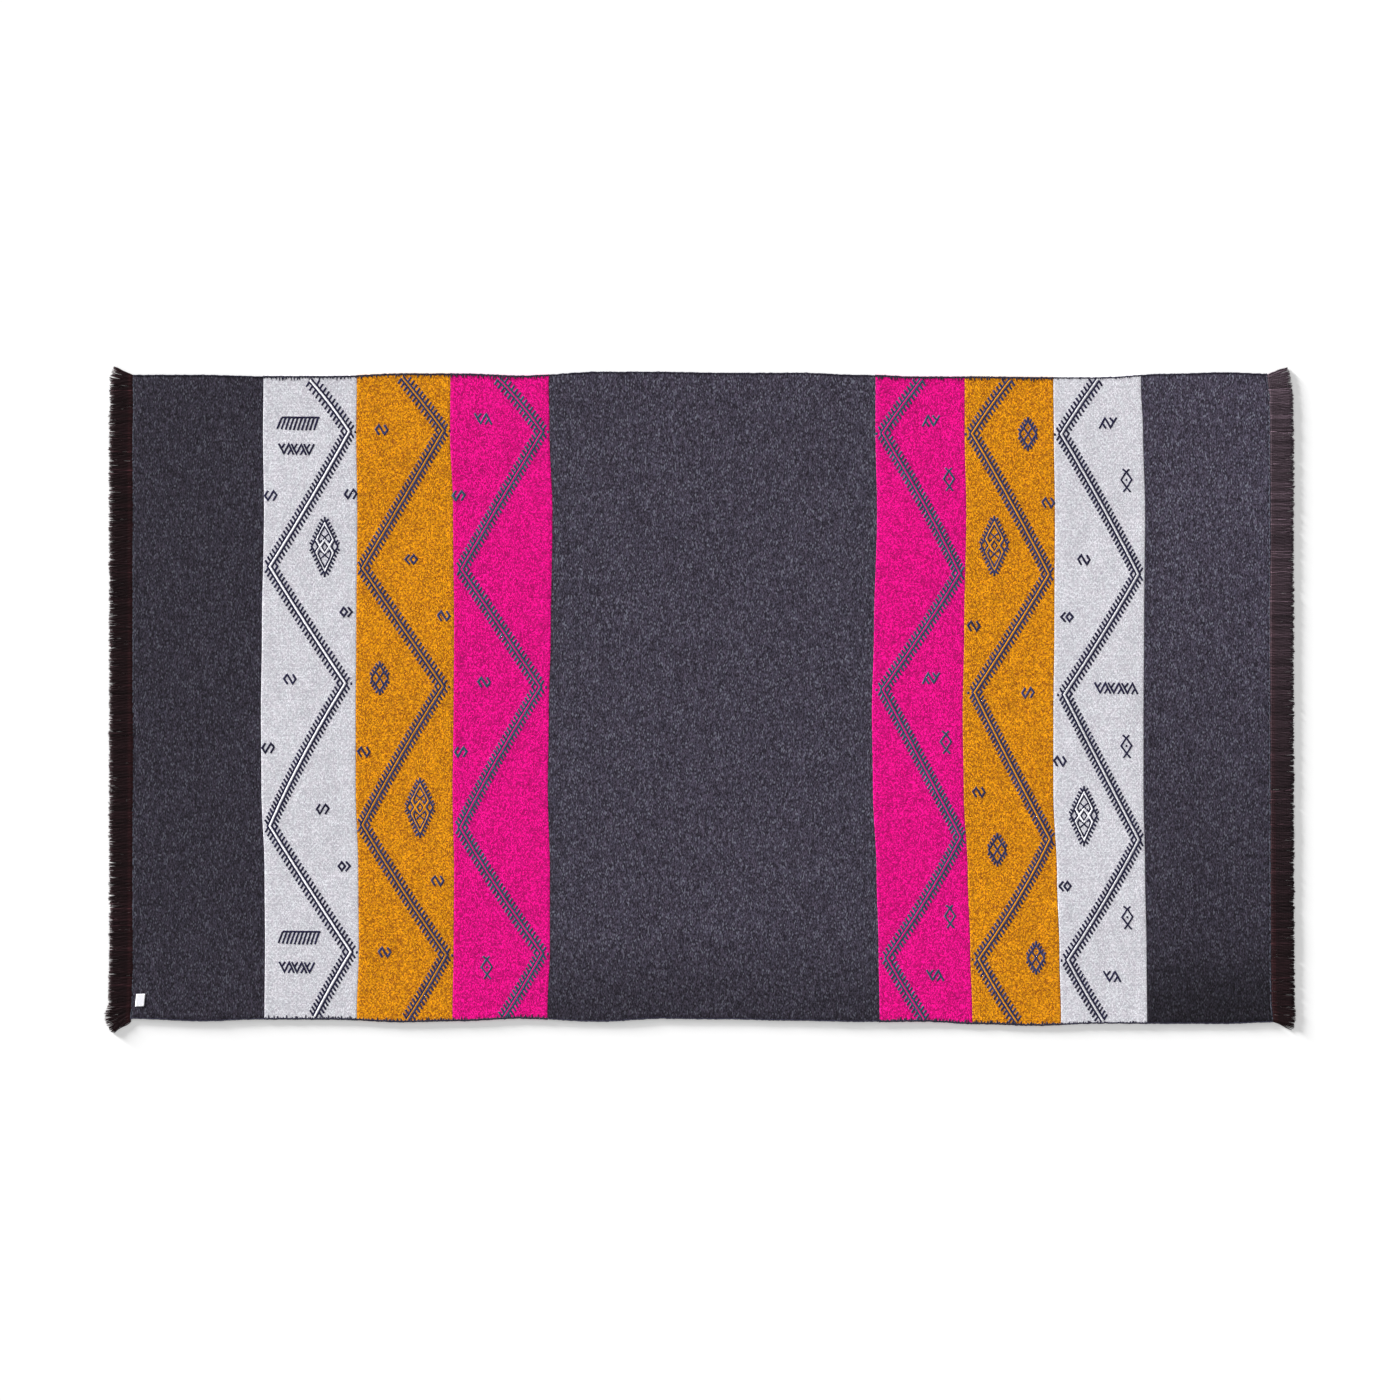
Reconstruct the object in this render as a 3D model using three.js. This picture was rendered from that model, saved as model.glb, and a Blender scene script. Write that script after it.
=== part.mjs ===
// A woven wool throw with fringed short ends, laid out flat.
// Millimetres. +X runs along the length, +Y across the width and +Z up, with the underside at z = 0.
import * as THREE from "three";

// Cloth: one woven sheet, about 50 by 88 inches without its fringe, cut into a grid of faces.
const CLOTH = { thickness: 2.7, columns: 54, rows: 28 };

// Slow swells in the upper face: their height, and the lengths that set their spacing.
const SWELL = { height: 0.3, along: 83, across: 71, drift: 390, bend: 140 };

// The long edges wander a little: y of the far and the near edge at places along the length.
const LONG_EDGES = [
  { x: -1115, far: 634, near: -629 },
  { x: -983, far: 634, near: -634 },
  { x: -856, far: 631, near: -630 },
  { x: -728, far: 631, near: -630 },
  { x: -591, far: 636, near: -635 },
  { x: -473, far: 636, near: -633 },
  { x: -355, far: 632, near: -628 },
  { x: -198, far: 640, near: -635 },
  { x: -80, far: 640, near: -629 },
  { x: 37, far: 638, near: -630 },
  { x: 194, far: 638, near: -633 },
  { x: 312, far: 634, near: -635 },
  { x: 430, far: 630, near: -634 },
  { x: 548, far: 630, near: -639 },
  { x: 656, far: 629, near: -642 },
  { x: 783, far: 629, near: -638 },
  { x: 911, far: 636, near: -639 },
  { x: 1029, far: 639, near: -639 },
  { x: 1117, far: 636, near: -636 },
];

// The short ends: x of the left and the right end at places across the width.
const SHORT_ENDS = [
  { y: -636, left: -1122, right: 1123 },
  { y: -593, left: -1119, right: 1120 },
  { y: -524, left: -1117, right: 1119 },
  { y: 0, left: -1117, right: 1118 },
  { y: 506, left: -1117, right: 1118 },
  { y: 585, left: -1116, right: 1117 },
  { y: 634, left: -1115, right: 1115 },
];

// Fringe: flat locks of warp yarn on a narrow root strip, beside each short end of the cloth.
const STRIP = { gap: 0.3, width: 7, height: 2.2 };
const LOCKS = { count: 140, rootWidth: 7, length: 36.5, uneven: 5, lean: 3, sway: 2.2 };

// A lock's width and height at places along its length, as shares of the length.
const LOCK_SECTIONS = [
  { along: 0.5, width: 6.2, height: 2.4 },
  { along: 1, width: 3.4, height: 1.1 },
];

// Seeds of the locks' scatter in lean, length and sway.
const SEEDS = { lean: 0, length: 2, sway: 5 };

// The locks nearest each corner fan outwards: the corner lock's angle, and how far in the fan starts.
const CORNER_FANS = [
  { end: "left", corner: 1, degrees: 30, reach: 30 },
  { end: "left", corner: -1, degrees: 44, reach: 34 },
  { end: "right", corner: 1, degrees: 24, reach: 26 },
  { end: "right", corner: -1, degrees: 26, reach: 22 },
];

// Label: a bare tape sewn flat near the left end's near corner, leaning a little.
const LABEL = { x: -1101, y: -593, width: 17.2, height: 24.5, lean: 2.6, rise: 0.8, thickness: 0.6, gap: 0.3 };

const COLORS = { ground: 0x45404b, fringe: 0x2c2024, label: 0xeceaea };

// Value of one column of a table at a place, easing from row to row.
function ease(table, key, column, at) {
  const last = table.length - 1;
  const place = THREE.MathUtils.clamp(at, table[0][key], table[last][key]);
  const upper = Math.max(1, table.findIndex((row) => row[key] >= place));
  const from = table[upper - 1];
  const to = table[upper];
  const share = THREE.MathUtils.smoothstep(place, from[key], to[key]);
  return THREE.MathUtils.lerp(from[column], to[column], share);
}

// Repeatable scatter between -0.5 and 0.5.
function scatter(index, seed) {
  const wave = Math.sin(index * 127.1 + seed * 311.7) * 4375.85;
  return wave - Math.floor(wave) - 0.5;
}

// Point of the cloth at shares u along its length and v across its width.
function clothPoint(u, v) {
  const across = THREE.MathUtils.lerp(SHORT_ENDS[0].y, SHORT_ENDS.at(-1).y, v);
  const left = ease(SHORT_ENDS, "y", "left", across);
  const right = ease(SHORT_ENDS, "y", "right", across);
  const x = THREE.MathUtils.lerp(left, right, u);
  const near = ease(LONG_EDGES, "x", "near", x);
  const far = ease(LONG_EDGES, "x", "far", x);
  return new THREE.Vector3(x, THREE.MathUtils.lerp(near, far, v), 0);
}

// Height of the cloth's upper face: nearly level, with slow swells.
function clothHeight({ x, y }) {
  const lengthwise = Math.sin(x / SWELL.along + Math.sin(y / SWELL.bend));
  const crosswise = Math.sin(y / SWELL.across + x / SWELL.drift);
  return CLOTH.thickness + SWELL.height * lengthwise * crosswise;
}

// Closed solid over a plan: its top has each point's own z and its underside lies at z = 0.
// The ring lists the outline's points in order, either way around.
function flatBottomSolid(plan, topFaces, bottomFaces, ring) {
  const outline = ring.map((index) => plan[index]);
  const turned = THREE.ShapeUtils.isClockWise(outline);
  const loop = turned ? [...ring].reverse() : ring;
  const positions = [];
  for (const point of plan) positions.push(point.x, point.y, point.z);
  for (const point of plan) positions.push(point.x, point.y, 0);
  const under = plan.length;
  const index = [];
  for (const [a, b, c] of topFaces) index.push(...upwardFace(plan, a, b, c));
  for (const [a, b, c] of bottomFaces) {
    const [p, q, r] = upwardFace(plan, a, b, c);
    index.push(r + under, q + under, p + under);
  }
  loop.forEach((a, step) => {
    const b = loop[(step + 1) % loop.length];
    index.push(a + under, b + under, b, a + under, b, a);
  });
  const indexed = new THREE.BufferGeometry();
  indexed.setAttribute("position", new THREE.Float32BufferAttribute(positions, 3));
  indexed.setIndex(index);
  const geometry = indexed.toNonIndexed();
  geometry.computeVertexNormals();
  return geometry;
}

// The same face, wound so that it looks up.
function upwardFace(plan, a, b, c) {
  const clockwise = THREE.ShapeUtils.isClockWise([plan[a], plan[b], plan[c]]);
  return clockwise ? [c, b, a] : [a, b, c];
}

// The cloth: a grid on top, and an underside cut only at the outline's points.
function clothGeometry() {
  const { columns, rows } = CLOTH;
  const plan = [];
  for (let row = 0; row <= rows; row += 1) {
    for (let column = 0; column <= columns; column += 1) {
      const point = clothPoint(column / columns, row / rows);
      point.z = clothHeight(point);
      plan.push(point);
    }
  }
  const at = (column, row) => row * (columns + 1) + column;
  const top = [];
  for (let row = 0; row < rows; row += 1) {
    for (let column = 0; column < columns; column += 1) {
      const corners = [at(column, row), at(column + 1, row), at(column + 1, row + 1), at(column, row + 1)];
      top.push([corners[0], corners[1], corners[2]], [corners[0], corners[2], corners[3]]);
    }
  }
  const ring = [];
  for (let column = 0; column < columns; column += 1) ring.push(at(column, 0));
  for (let row = 0; row < rows; row += 1) ring.push(at(columns, row));
  for (let column = columns; column > 0; column -= 1) ring.push(at(column, rows));
  for (let row = rows; row > 0; row -= 1) ring.push(at(0, row));
  return flatBottomSolid(plan, top, undersideFaces(at), ring);
}

// Faces of the cloth's underside: strips from edge to edge, and a fan of faces at each short end.
function undersideFaces(at) {
  const { columns, rows } = CLOTH;
  const faces = [];
  for (let column = 1; column < columns - 1; column += 1) {
    faces.push([at(column, 0), at(column + 1, 0), at(column + 1, rows)]);
    faces.push([at(column, 0), at(column + 1, rows), at(column, rows)]);
  }
  for (const [end, next] of [[0, 1], [columns, columns - 1]]) {
    for (let row = 0; row < rows; row += 1) faces.push([at(next, 0), at(end, row), at(end, row + 1)]);
    faces.push([at(next, 0), at(end, rows), at(next, rows)]);
  }
  return faces;
}

// Point on the outline of the cloth's end at a share v across its width.
function endPoint(end, v) {
  const u = end === "left" ? 0 : 1;
  const row = Math.min(CLOTH.rows - 1, Math.floor(v * CLOTH.rows));
  const share = v * CLOTH.rows - row;
  return clothPoint(u, row / CLOTH.rows).lerp(clothPoint(u, (row + 1) / CLOTH.rows), share);
}

// Direction in which a lock points, fanning outwards near a corner.
function lockDirection(end, root, index) {
  const outward = end === "left" ? -1 : 1;
  let degrees = LOCKS.lean * scatter(index, SEEDS.lean + outward);
  for (const fan of CORNER_FANS.filter((row) => row.end === end)) {
    const inset = Math.abs(endPoint(end, fan.corner > 0 ? 1 : 0).y - root.y);
    degrees += fan.corner * fan.degrees * Math.max(0, 1 - inset / fan.reach);
  }
  const angle = THREE.MathUtils.degToRad(degrees);
  return new THREE.Vector3(outward * Math.cos(angle), Math.sin(angle), 0);
}

// The two sides of a lock at one of its sections, lower side first.
function lockSection(root, direction, length, sway, section) {
  const side = new THREE.Vector3(-direction.y, direction.x, 0);
  if (side.y < 0) side.negate();
  const middle = root.clone().addScaledVector(direction, length * section.along);
  middle.addScaledVector(side, sway * Math.sin((Math.PI * section.along) / 2));
  middle.z = section.height;
  return [-1, 1].map((hand) => middle.clone().addScaledVector(side, (hand * section.width) / 2));
}

// One fringe: the root strip beside the cloth's end and the locks that grow from it.
function fringeGeometry(end) {
  const outward = end === "left" ? -1 : 1;
  const plan = [];
  const faces = [];
  const inner = [];
  const outer = [];
  const add = (point) => plan.push(point) - 1;
  const stripPoint = (v, distance) => {
    const { x, y } = endPoint(end, v);
    return new THREE.Vector3(x + outward * distance, y, STRIP.height);
  };
  for (let index = 0; index <= LOCKS.count; index += 1) {
    inner.push(add(stripPoint(index / LOCKS.count, STRIP.gap)));
  }
  for (let index = 0; index < LOCKS.count; index += 1) {
    const middle = (index + 0.5) / LOCKS.count;
    const root = stripPoint(middle, STRIP.gap + STRIP.width);
    const reach = LOCKS.rootWidth / 2 / (SHORT_ENDS.at(-1).y - SHORT_ENDS[0].y);
    const low = add(stripPoint(middle - reach, STRIP.gap + STRIP.width));
    const high = add(stripPoint(middle + reach, STRIP.gap + STRIP.width));
    faces.push([inner[index], inner[index + 1], high], [inner[index], high, low]);
    if (index > 0) faces.push([inner[index], low, outer.at(-1)]);
    const direction = lockDirection(end, root, index);
    const length = LOCKS.length + LOCKS.uneven * scatter(index, SEEDS.length + outward);
    const sway = LOCKS.sway * scatter(index, SEEDS.sway + outward);
    let [lower, upper] = [low, high];
    const lowerSide = [low];
    const upperSide = [high];
    for (const section of LOCK_SECTIONS) {
      const pair = lockSection(root, direction, length, sway, section).map(add);
      faces.push([lower, upper, pair[1]], [lower, pair[1], pair[0]]);
      [lower, upper] = pair;
      lowerSide.push(lower);
      upperSide.unshift(upper);
    }
    outer.push(...lowerSide, ...upperSide);
  }
  return flatBottomSolid(plan, faces, faces, [...inner.reverse(), ...outer]);
}

// The label: a slightly leaning flat tape.
function labelGeometry() {
  const { width, height, lean, rise, thickness } = LABEL;
  const outline = new THREE.Shape([
    new THREE.Vector2(-width / 2 - lean / 2, -height / 2 - rise / 2),
    new THREE.Vector2(width / 2 - lean / 2, -height / 2 + rise / 2),
    new THREE.Vector2(width / 2 + lean / 2, height / 2 + rise / 2),
    new THREE.Vector2(-width / 2 + lean / 2, height / 2 - rise / 2),
  ]);
  return new THREE.ExtrudeGeometry(outline, { depth: thickness, bevelEnabled: false });
}

function namedMesh(name, geometry, color) {
  const material = new THREE.MeshStandardMaterial({ color, roughness: 0.95, metalness: 0 });
  const mesh = new THREE.Mesh(geometry, material);
  mesh.name = name;
  return mesh;
}

function buildThrow() {
  const group = new THREE.Group();
  group.add(namedMesh("cloth", clothGeometry(), COLORS.ground));
  for (const end of ["left", "right"]) {
    group.add(namedMesh(`fringe_${end}`, fringeGeometry(end), COLORS.fringe));
  }
  const label = namedMesh("label", labelGeometry(), COLORS.label);
  label.position.set(LABEL.x, LABEL.y, CLOTH.thickness + SWELL.height + LABEL.gap);
  group.add(label);
  const middle = new THREE.Box3().setFromObject(group).getCenter(new THREE.Vector3());
  group.position.set(-middle.x, -middle.y, 0);
  return group;
}

export default buildThrow();
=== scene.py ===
"""A woven wool throw with colour bands, woven motifs and fringed ends, laid flat on a pale floor."""
import logging
import math
from collections.abc import Callable
from dataclasses import dataclass
from enum import Enum

import bpy
import numpy as np
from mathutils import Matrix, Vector


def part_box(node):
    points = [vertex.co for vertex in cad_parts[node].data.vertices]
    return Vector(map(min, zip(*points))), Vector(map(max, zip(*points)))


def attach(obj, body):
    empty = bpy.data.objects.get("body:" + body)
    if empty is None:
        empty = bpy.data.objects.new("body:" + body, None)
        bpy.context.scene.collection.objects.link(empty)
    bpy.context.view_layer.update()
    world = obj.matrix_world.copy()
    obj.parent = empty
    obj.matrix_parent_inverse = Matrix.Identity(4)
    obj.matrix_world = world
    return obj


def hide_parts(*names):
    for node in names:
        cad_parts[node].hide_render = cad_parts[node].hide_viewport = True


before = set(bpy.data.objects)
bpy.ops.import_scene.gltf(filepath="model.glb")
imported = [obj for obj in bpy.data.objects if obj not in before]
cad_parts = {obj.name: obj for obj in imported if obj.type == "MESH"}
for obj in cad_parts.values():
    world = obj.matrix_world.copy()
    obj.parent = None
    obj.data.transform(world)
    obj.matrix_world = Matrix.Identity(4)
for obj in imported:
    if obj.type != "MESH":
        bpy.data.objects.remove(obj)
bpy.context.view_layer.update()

log = logging.getLogger("throw")

MM = 0.001
# Millimetres of the throw that one pixel of the photo shows, and one step of a motif's chart.
PIXEL = 1.963
IMAGE_SIZE = 1400
FULL_TURN = 2 * math.pi

Color = tuple[float, float, float]
Points = np.ndarray
Line = Callable[[Points], Points]
Draw = np.random.Generator
Piece = bpy.types.Object
Material = bpy.types.Material
Socket = bpy.types.NodeSocket


@dataclass(frozen=True)
class EdgeRow:
    """Places of the two long edges at one place along the throw, in millimetres."""

    x: float
    far: float
    near: float


@dataclass(frozen=True)
class EndRow:
    """Places of the two short ends at one place across the throw, in millimetres."""

    y: float
    left: float
    right: float


@dataclass(frozen=True)
class SeamRow:
    """Where four colour changes lie at one place across the throw, in millimetres."""

    y: float
    first: float
    second: float
    third: float
    fourth: float


LONG_EDGES = (
    EdgeRow(-1115, 634, -629),
    EdgeRow(-983, 634, -634),
    EdgeRow(-856, 631, -630),
    EdgeRow(-728, 631, -630),
    EdgeRow(-591, 636, -635),
    EdgeRow(-473, 636, -633),
    EdgeRow(-355, 632, -628),
    EdgeRow(-198, 640, -635),
    EdgeRow(-80, 640, -629),
    EdgeRow(37, 638, -630),
    EdgeRow(194, 638, -633),
    EdgeRow(312, 634, -635),
    EdgeRow(430, 630, -634),
    EdgeRow(548, 630, -639),
    EdgeRow(656, 629, -642),
    EdgeRow(783, 629, -638),
    EdgeRow(911, 636, -639),
    EdgeRow(1029, 639, -639),
    EdgeRow(1117, 636, -636),
)

SHORT_ENDS = (
    EndRow(-636, -1122, 1123),
    EndRow(-593, -1119, 1120),
    EndRow(-524, -1117, 1119),
    EndRow(0, -1117, 1118),
    EndRow(506, -1117, 1118),
    EndRow(585, -1116, 1117),
    EndRow(634, -1117, 1112),
)

LEFT_SEAMS = (
    SeamRow(-622, -857, -676, -488, -302),
    SeamRow(-497, -856, -672, -486, -297),
    SeamRow(-340, -857, -673, -485, -297),
    SeamRow(-183, -863, -678, -488, -301),
    SeamRow(-26, -864, -678, -486, -299),
    SeamRow(132, -862, -677, -485, -295),
    SeamRow(367, -858, -675, -487, -292),
    SeamRow(524, -860, -677, -493, -298),
    SeamRow(614, -859, -676, -492, -299),
)

RIGHT_SEAMS = (
    SeamRow(-622, 350, 532, 706, 875),
    SeamRow(-497, 348, 528, 703, 874),
    SeamRow(-340, 344, 523, 698, 871),
    SeamRow(-183, 337, 515, 691, 868),
    SeamRow(-26, 335, 513, 691, 868),
    SeamRow(132, 339, 516, 693, 869),
    SeamRow(367, 345, 520, 694, 871),
    SeamRow(524, 342, 517, 692, 867),
    SeamRow(614, 342, 517, 691, 863),
)


def ease(rows: tuple, key: str, column: str, at: Points) -> Points:
    """Read one column of a table at some places, easing from row to row.

    Args:
        rows: The table, in rising order of its key.
        key: The field that holds each row's place.
        column: The field to read.
        at: The places.

    Returns:
        The column's value at each place.
    """
    keys = np.array([getattr(row, key) for row in rows], dtype=float)
    values = np.array([getattr(row, column) for row in rows], dtype=float)
    place = np.clip(at, keys[0], keys[-1])
    upper = np.clip(np.searchsorted(keys, place), 1, len(keys) - 1)
    share = (place - keys[upper - 1]) / (keys[upper] - keys[upper - 1])
    share = share * share * (3 - 2 * share)
    return values[upper - 1] + (values[upper] - values[upper - 1]) * share


class Puckers:
    """Small uneven swells of cloth, a sum of seeded waves."""

    def __init__(self, seed: int, count: int, shortest: float, longest: float, height: float) -> None:
        """Draw the waves.

        Args:
            seed: Seed of the draw.
            count: Number of waves.
            shortest: Shortest wavelength in millimetres.
            longest: Longest wavelength in millimetres.
            height: Typical height of the sum in millimetres.
        """
        draw = np.random.default_rng(seed)
        turn = draw.uniform(0, FULL_TURN, count)
        length = draw.uniform(shortest, longest, count)
        self.along = np.cos(turn) * FULL_TURN / length
        self.across = np.sin(turn) * FULL_TURN / length
        self.phase = draw.uniform(0, FULL_TURN, count)
        self.height = height * math.sqrt(2 / count)

    def at(self, x: Points, y: Points) -> Points:
        """Return the height of the swells at some places, in millimetres.

        Args:
            x: Places along the throw.
            y: Places across it.

        Returns:
            The height at each place.
        """
        total = np.zeros(np.broadcast(x, y).shape)
        for along, across, phase in zip(self.along, self.across, self.phase):
            total += np.sin(x * along + y * across + phase)
        return total * self.height


@dataclass(frozen=True)
class ClothForm:
    """The throw's outline and upper face, in millimetres from the middle of the cloth."""

    thickness: float = 2.7
    swell: float = 0.3
    swell_along: float = 83
    swell_across: float = 71
    swell_drift: float = 390
    swell_bend: float = 140

    def near(self, x: Points) -> Points:
        """Return the place of the near long edge."""
        return ease(LONG_EDGES, "x", "near", x)

    def far(self, x: Points) -> Points:
        """Return the place of the far long edge."""
        return ease(LONG_EDGES, "x", "far", x)

    def left(self, y: Points) -> Points:
        """Return the place of the left end."""
        return ease(SHORT_ENDS, "y", "left", y)

    def right(self, y: Points) -> Points:
        """Return the place of the right end."""
        return ease(SHORT_ENDS, "y", "right", y)

    def top(self, x: Points, y: Points) -> Points:
        """Return the height of the upper face.

        Args:
            x: Places along the throw.
            y: Places across it.

        Returns:
            The height at each place.
        """
        lengthwise = np.sin(x / self.swell_along + np.sin(y / self.swell_bend))
        crosswise = np.sin(y / self.swell_across + x / self.swell_drift)
        return self.thickness + self.swell * lengthwise * crosswise + PUCKERS.at(x, y)

    def shift(self) -> Points:
        """Return the step from the cloth's middle to the frame's origin, in millimetres.

        Returns:
            The step, with no rise.
        """
        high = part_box("cloth")[1]
        right = max(row.right for row in SHORT_ENDS)
        far = max(row.far for row in LONG_EDGES)
        return np.array([high.x / MM - right, high.y / MM - far, 0.0])


PUCKERS = Puckers(seed=11, count=26, shortest=24, longest=150, height=0.09)
FORM = ClothForm()


def new_piece(name: str, points: Points, faces: list, finish: Material) -> Piece:
    """Make a visible piece from points in millimetres.

    Args:
        name: The piece's name.
        points: Its points, measured from the cloth's middle.
        faces: Its faces, wound to look outwards.
        finish: Its material.

    Returns:
        The new object, riding on the root body.
    """
    mesh = bpy.data.meshes.new(name)
    mesh.from_pydata(((points + FORM.shift()) * MM).tolist(), [], faces)
    mesh.materials.append(finish)
    mesh.shade_smooth()
    piece = bpy.data.objects.new(name, mesh)
    bpy.context.scene.collection.objects.link(piece)
    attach(piece, "root")
    log.info("%s: %d faces", name, len(faces))
    return piece


def add_numbers(piece: Piece, name: str, values: Points) -> None:
    """Store one number for each point of a piece, for its material to read."""
    layer = piece.data.attributes.new(name, "FLOAT", "POINT")
    layer.data.foreach_set("value", np.asarray(values, dtype=np.float32))


class NodeBoard:
    """A new material's node tree, with short ways to add and join nodes."""

    def __init__(self, name: str, roughness: float, sheen: float, specular: float) -> None:
        """Start a material on the usual shader.

        Args:
            name: The material's name.
            roughness: The shader's roughness.
            sheen: Weight of the soft glow of loose fibres.
            specular: Strength of the shader's plain reflection.
        """
        self.material = bpy.data.materials.new(name)
        self.material.use_nodes = True
        self.tree = self.material.node_tree
        self.shader = next(node for node in self.tree.nodes if node.type == "BSDF_PRINCIPLED")
        self.shader.inputs["Roughness"].default_value = roughness
        self.shader.inputs["Sheen Weight"].default_value = sheen
        self.shader.inputs["Sheen Roughness"].default_value = 0.6
        self.shader.inputs["Specular IOR Level"].default_value = specular

    def feed(self, socket: Socket, value: object) -> None:
        """Join a socket to another, or set it to a plain value.

        Args:
            socket: The socket to feed.
            value: Another socket, or a plain value.
        """
        if isinstance(value, Socket):
            self.tree.links.new(value, socket)
        else:
            socket.default_value = value

    def add(self, kind: str, inputs: dict, **settings: object) -> bpy.types.Node:
        """Add a node.

        Args:
            kind: The node's type name.
            inputs: Values or sockets by input name or number.
            settings: The node's own settings.

        Returns:
            The node.
        """
        node = self.tree.nodes.new(kind)
        for key, value in settings.items():
            setattr(node, key, value)
        for key, value in inputs.items():
            self.feed(node.inputs[key], value)
        return node

    def math(self, operation: str, *values: object) -> Socket:
        """Return the result of a sum on numbers."""
        return self.add("ShaderNodeMath", dict(enumerate(values)), operation=operation).outputs[0]

    def place(self) -> Socket:
        """Return the point's place on the object, in millimetres."""
        place = self.add("ShaderNodeTexCoord", {}).outputs["Object"]
        return self.scaled(place, (1 / MM, 1 / MM, 1 / MM))

    def scaled(self, vector: Socket, scale: Color) -> Socket:
        """Return a vector with each part multiplied."""
        inputs = {0: vector, 1: scale}
        return self.add("ShaderNodeVectorMath", inputs, operation="MULTIPLY").outputs[0]

    def noise(self, place: Socket, scale: Color, detail: float, rough: float = 0.5) -> Socket:
        """Return soft noise around 0.5.

        Args:
            place: The place in millimetres.
            scale: Size of a millimetre in the noise, along each axis.
            detail: Number of finer layers.
            rough: How strong the finer layers are.

        Returns:
            The noise.
        """
        spot = self.scaled(place, scale)
        inputs = {"Vector": spot, "Scale": 1.0, "Detail": detail, "Roughness": rough}
        return self.add("ShaderNodeTexNoise", inputs).outputs["Fac"]

    def luck(self, column: Socket, row: Socket) -> Socket:
        """Return a random number for each cell of a grid."""
        cell = self.add("ShaderNodeCombineXYZ", {0: column, 1: row}).outputs[0]
        return self.add("ShaderNodeTexWhiteNoise", {"Vector": cell}, noise_dimensions="2D").outputs["Value"]

    def wave(self, turns: Socket) -> Socket:
        """Return a sine wave of one turn for each whole step of a value."""
        return self.math("SINE", self.math("MULTIPLY", turns, FULL_TURN))

    def number(self, name: str) -> Socket:
        """Return a number that the piece stores at its points."""
        return self.add("ShaderNodeAttribute", {}, attribute_name=name).outputs["Fac"]

    def blend(self, share: object, first: object, second: object) -> Socket:
        """Return a mix of two colours.

        Args:
            share: Share of the second colour.
            first: First colour.
            second: Second colour.

        Returns:
            The mix.
        """
        node = self.add("ShaderNodeMix", {}, data_type="RGBA")
        for key, value in (("Factor_Float", share), ("A_Color", first), ("B_Color", second)):
            socket = next(item for item in node.inputs if item.identifier == key)
            self.feed(socket, opaque(value))
        return next(item for item in node.outputs if item.identifier == "Result_Color")

    def ramp(self, value: Socket, start: float, end: float) -> Socket:
        """Return a smooth step from 0 at one value to 1 at another.

        Args:
            value: The value.
            start: Where the step is 0.
            end: Where it is 1.

        Returns:
            The step.
        """
        inputs = {"Value": value, "From Min": start, "From Max": end}
        node = self.add("ShaderNodeMapRange", inputs, interpolation_type="SMOOTHSTEP")
        return node.outputs[0]

    def middling(self, value: Socket) -> Socket:
        """Return 0 in the middle of each whole step of a value and 1 at its ends."""
        return self.math("ABSOLUTE", self.math("MULTIPLY_ADD", self.math("FRACT", value), 2.0, -1.0))

    def rise(self, value: Socket, width: float) -> Socket:
        """Return 1 where a value is 0, falling softly to 0 at a width."""
        return self.ramp(value, width, width * 0.4)

    def parts(self, vector: Socket) -> list:
        """Return a vector's three parts."""
        return list(self.add("ShaderNodeSeparateXYZ", {0: vector}).outputs)

    def toned(self, color: object, tone: Socket) -> Socket:
        """Return a colour made lighter or darker by a factor."""
        return self.add("ShaderNodeVectorMath", {0: color, "Scale": tone}, operation="SCALE").outputs[0]

    def swing(self, value: Socket, reach: float, base: object = 0.0) -> Socket:
        """Return a base plus noise around zero: reach is how far a noise of 0 or 1 moves it."""
        centred = self.math("MULTIPLY_ADD", value, 2 * reach, -reach)
        return self.math("ADD", centred, base)

    def bump(self, height: Socket, depth: float, strength: float) -> None:
        """Raise the surface by a height of 0 to 1, with depth in millimetres.

        Args:
            height: The height.
            depth: How high a height of 1 is.
            strength: How much of it shows.
        """
        inputs = {"Height": height, "Distance": depth * MM, "Strength": strength}
        node = self.add("ShaderNodeBump", inputs)
        self.feed(self.shader.inputs["Normal"], node.outputs["Normal"])

    def finish(self, color: Socket) -> Material:
        """Set the surface colour and return the material."""
        self.feed(self.shader.inputs["Base Color"], color)
        return self.material


def opaque(value: object) -> object:
    """Return a plain colour with full alpha, and anything else as it is."""
    return (*value, 1.0) if isinstance(value, tuple) and len(value) == 3 else value


@dataclass(frozen=True)
class PaintedGroundSheen:
    """Painted sheen on the ground wool: a lighter tone that stands in for the lights' glare, most in the
    middle and at the far right corner.
    """

    middle: float = 0.62
    near_middle: float = -0.60
    far_right: float = 0.30
    near_right: float = -0.88
    left_panel: tuple = (-750, -350)
    right_panel: tuple = (600, 1000)
    near_edge: tuple = (-420, -620)
    whole_width: tuple = (520, -640)

    def tone(self, board: NodeBoard, place: Socket) -> Socket:
        """Return the factor by which the painted sheen makes the wool lighter.

        Args:
            board: The material's node board.
            place: The place in millimetres.

        Returns:
            The factor, 1 in the left panel.
        """
        x, y, _ = board.parts(place)
        from_near = board.ramp(y, *self.near_edge)
        from_far = board.ramp(y, *self.whole_width)
        middle = board.math("MULTIPLY_ADD", from_near, self.near_middle, self.middle)
        right = board.math("MULTIPLY_ADD", from_far, self.near_right, self.far_right)
        tone = board.math("MULTIPLY_ADD", board.ramp(x, *self.left_panel), middle, 1.0)
        return board.math("MULTIPLY_ADD", board.ramp(x, *self.right_panel), right, tone)


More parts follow.
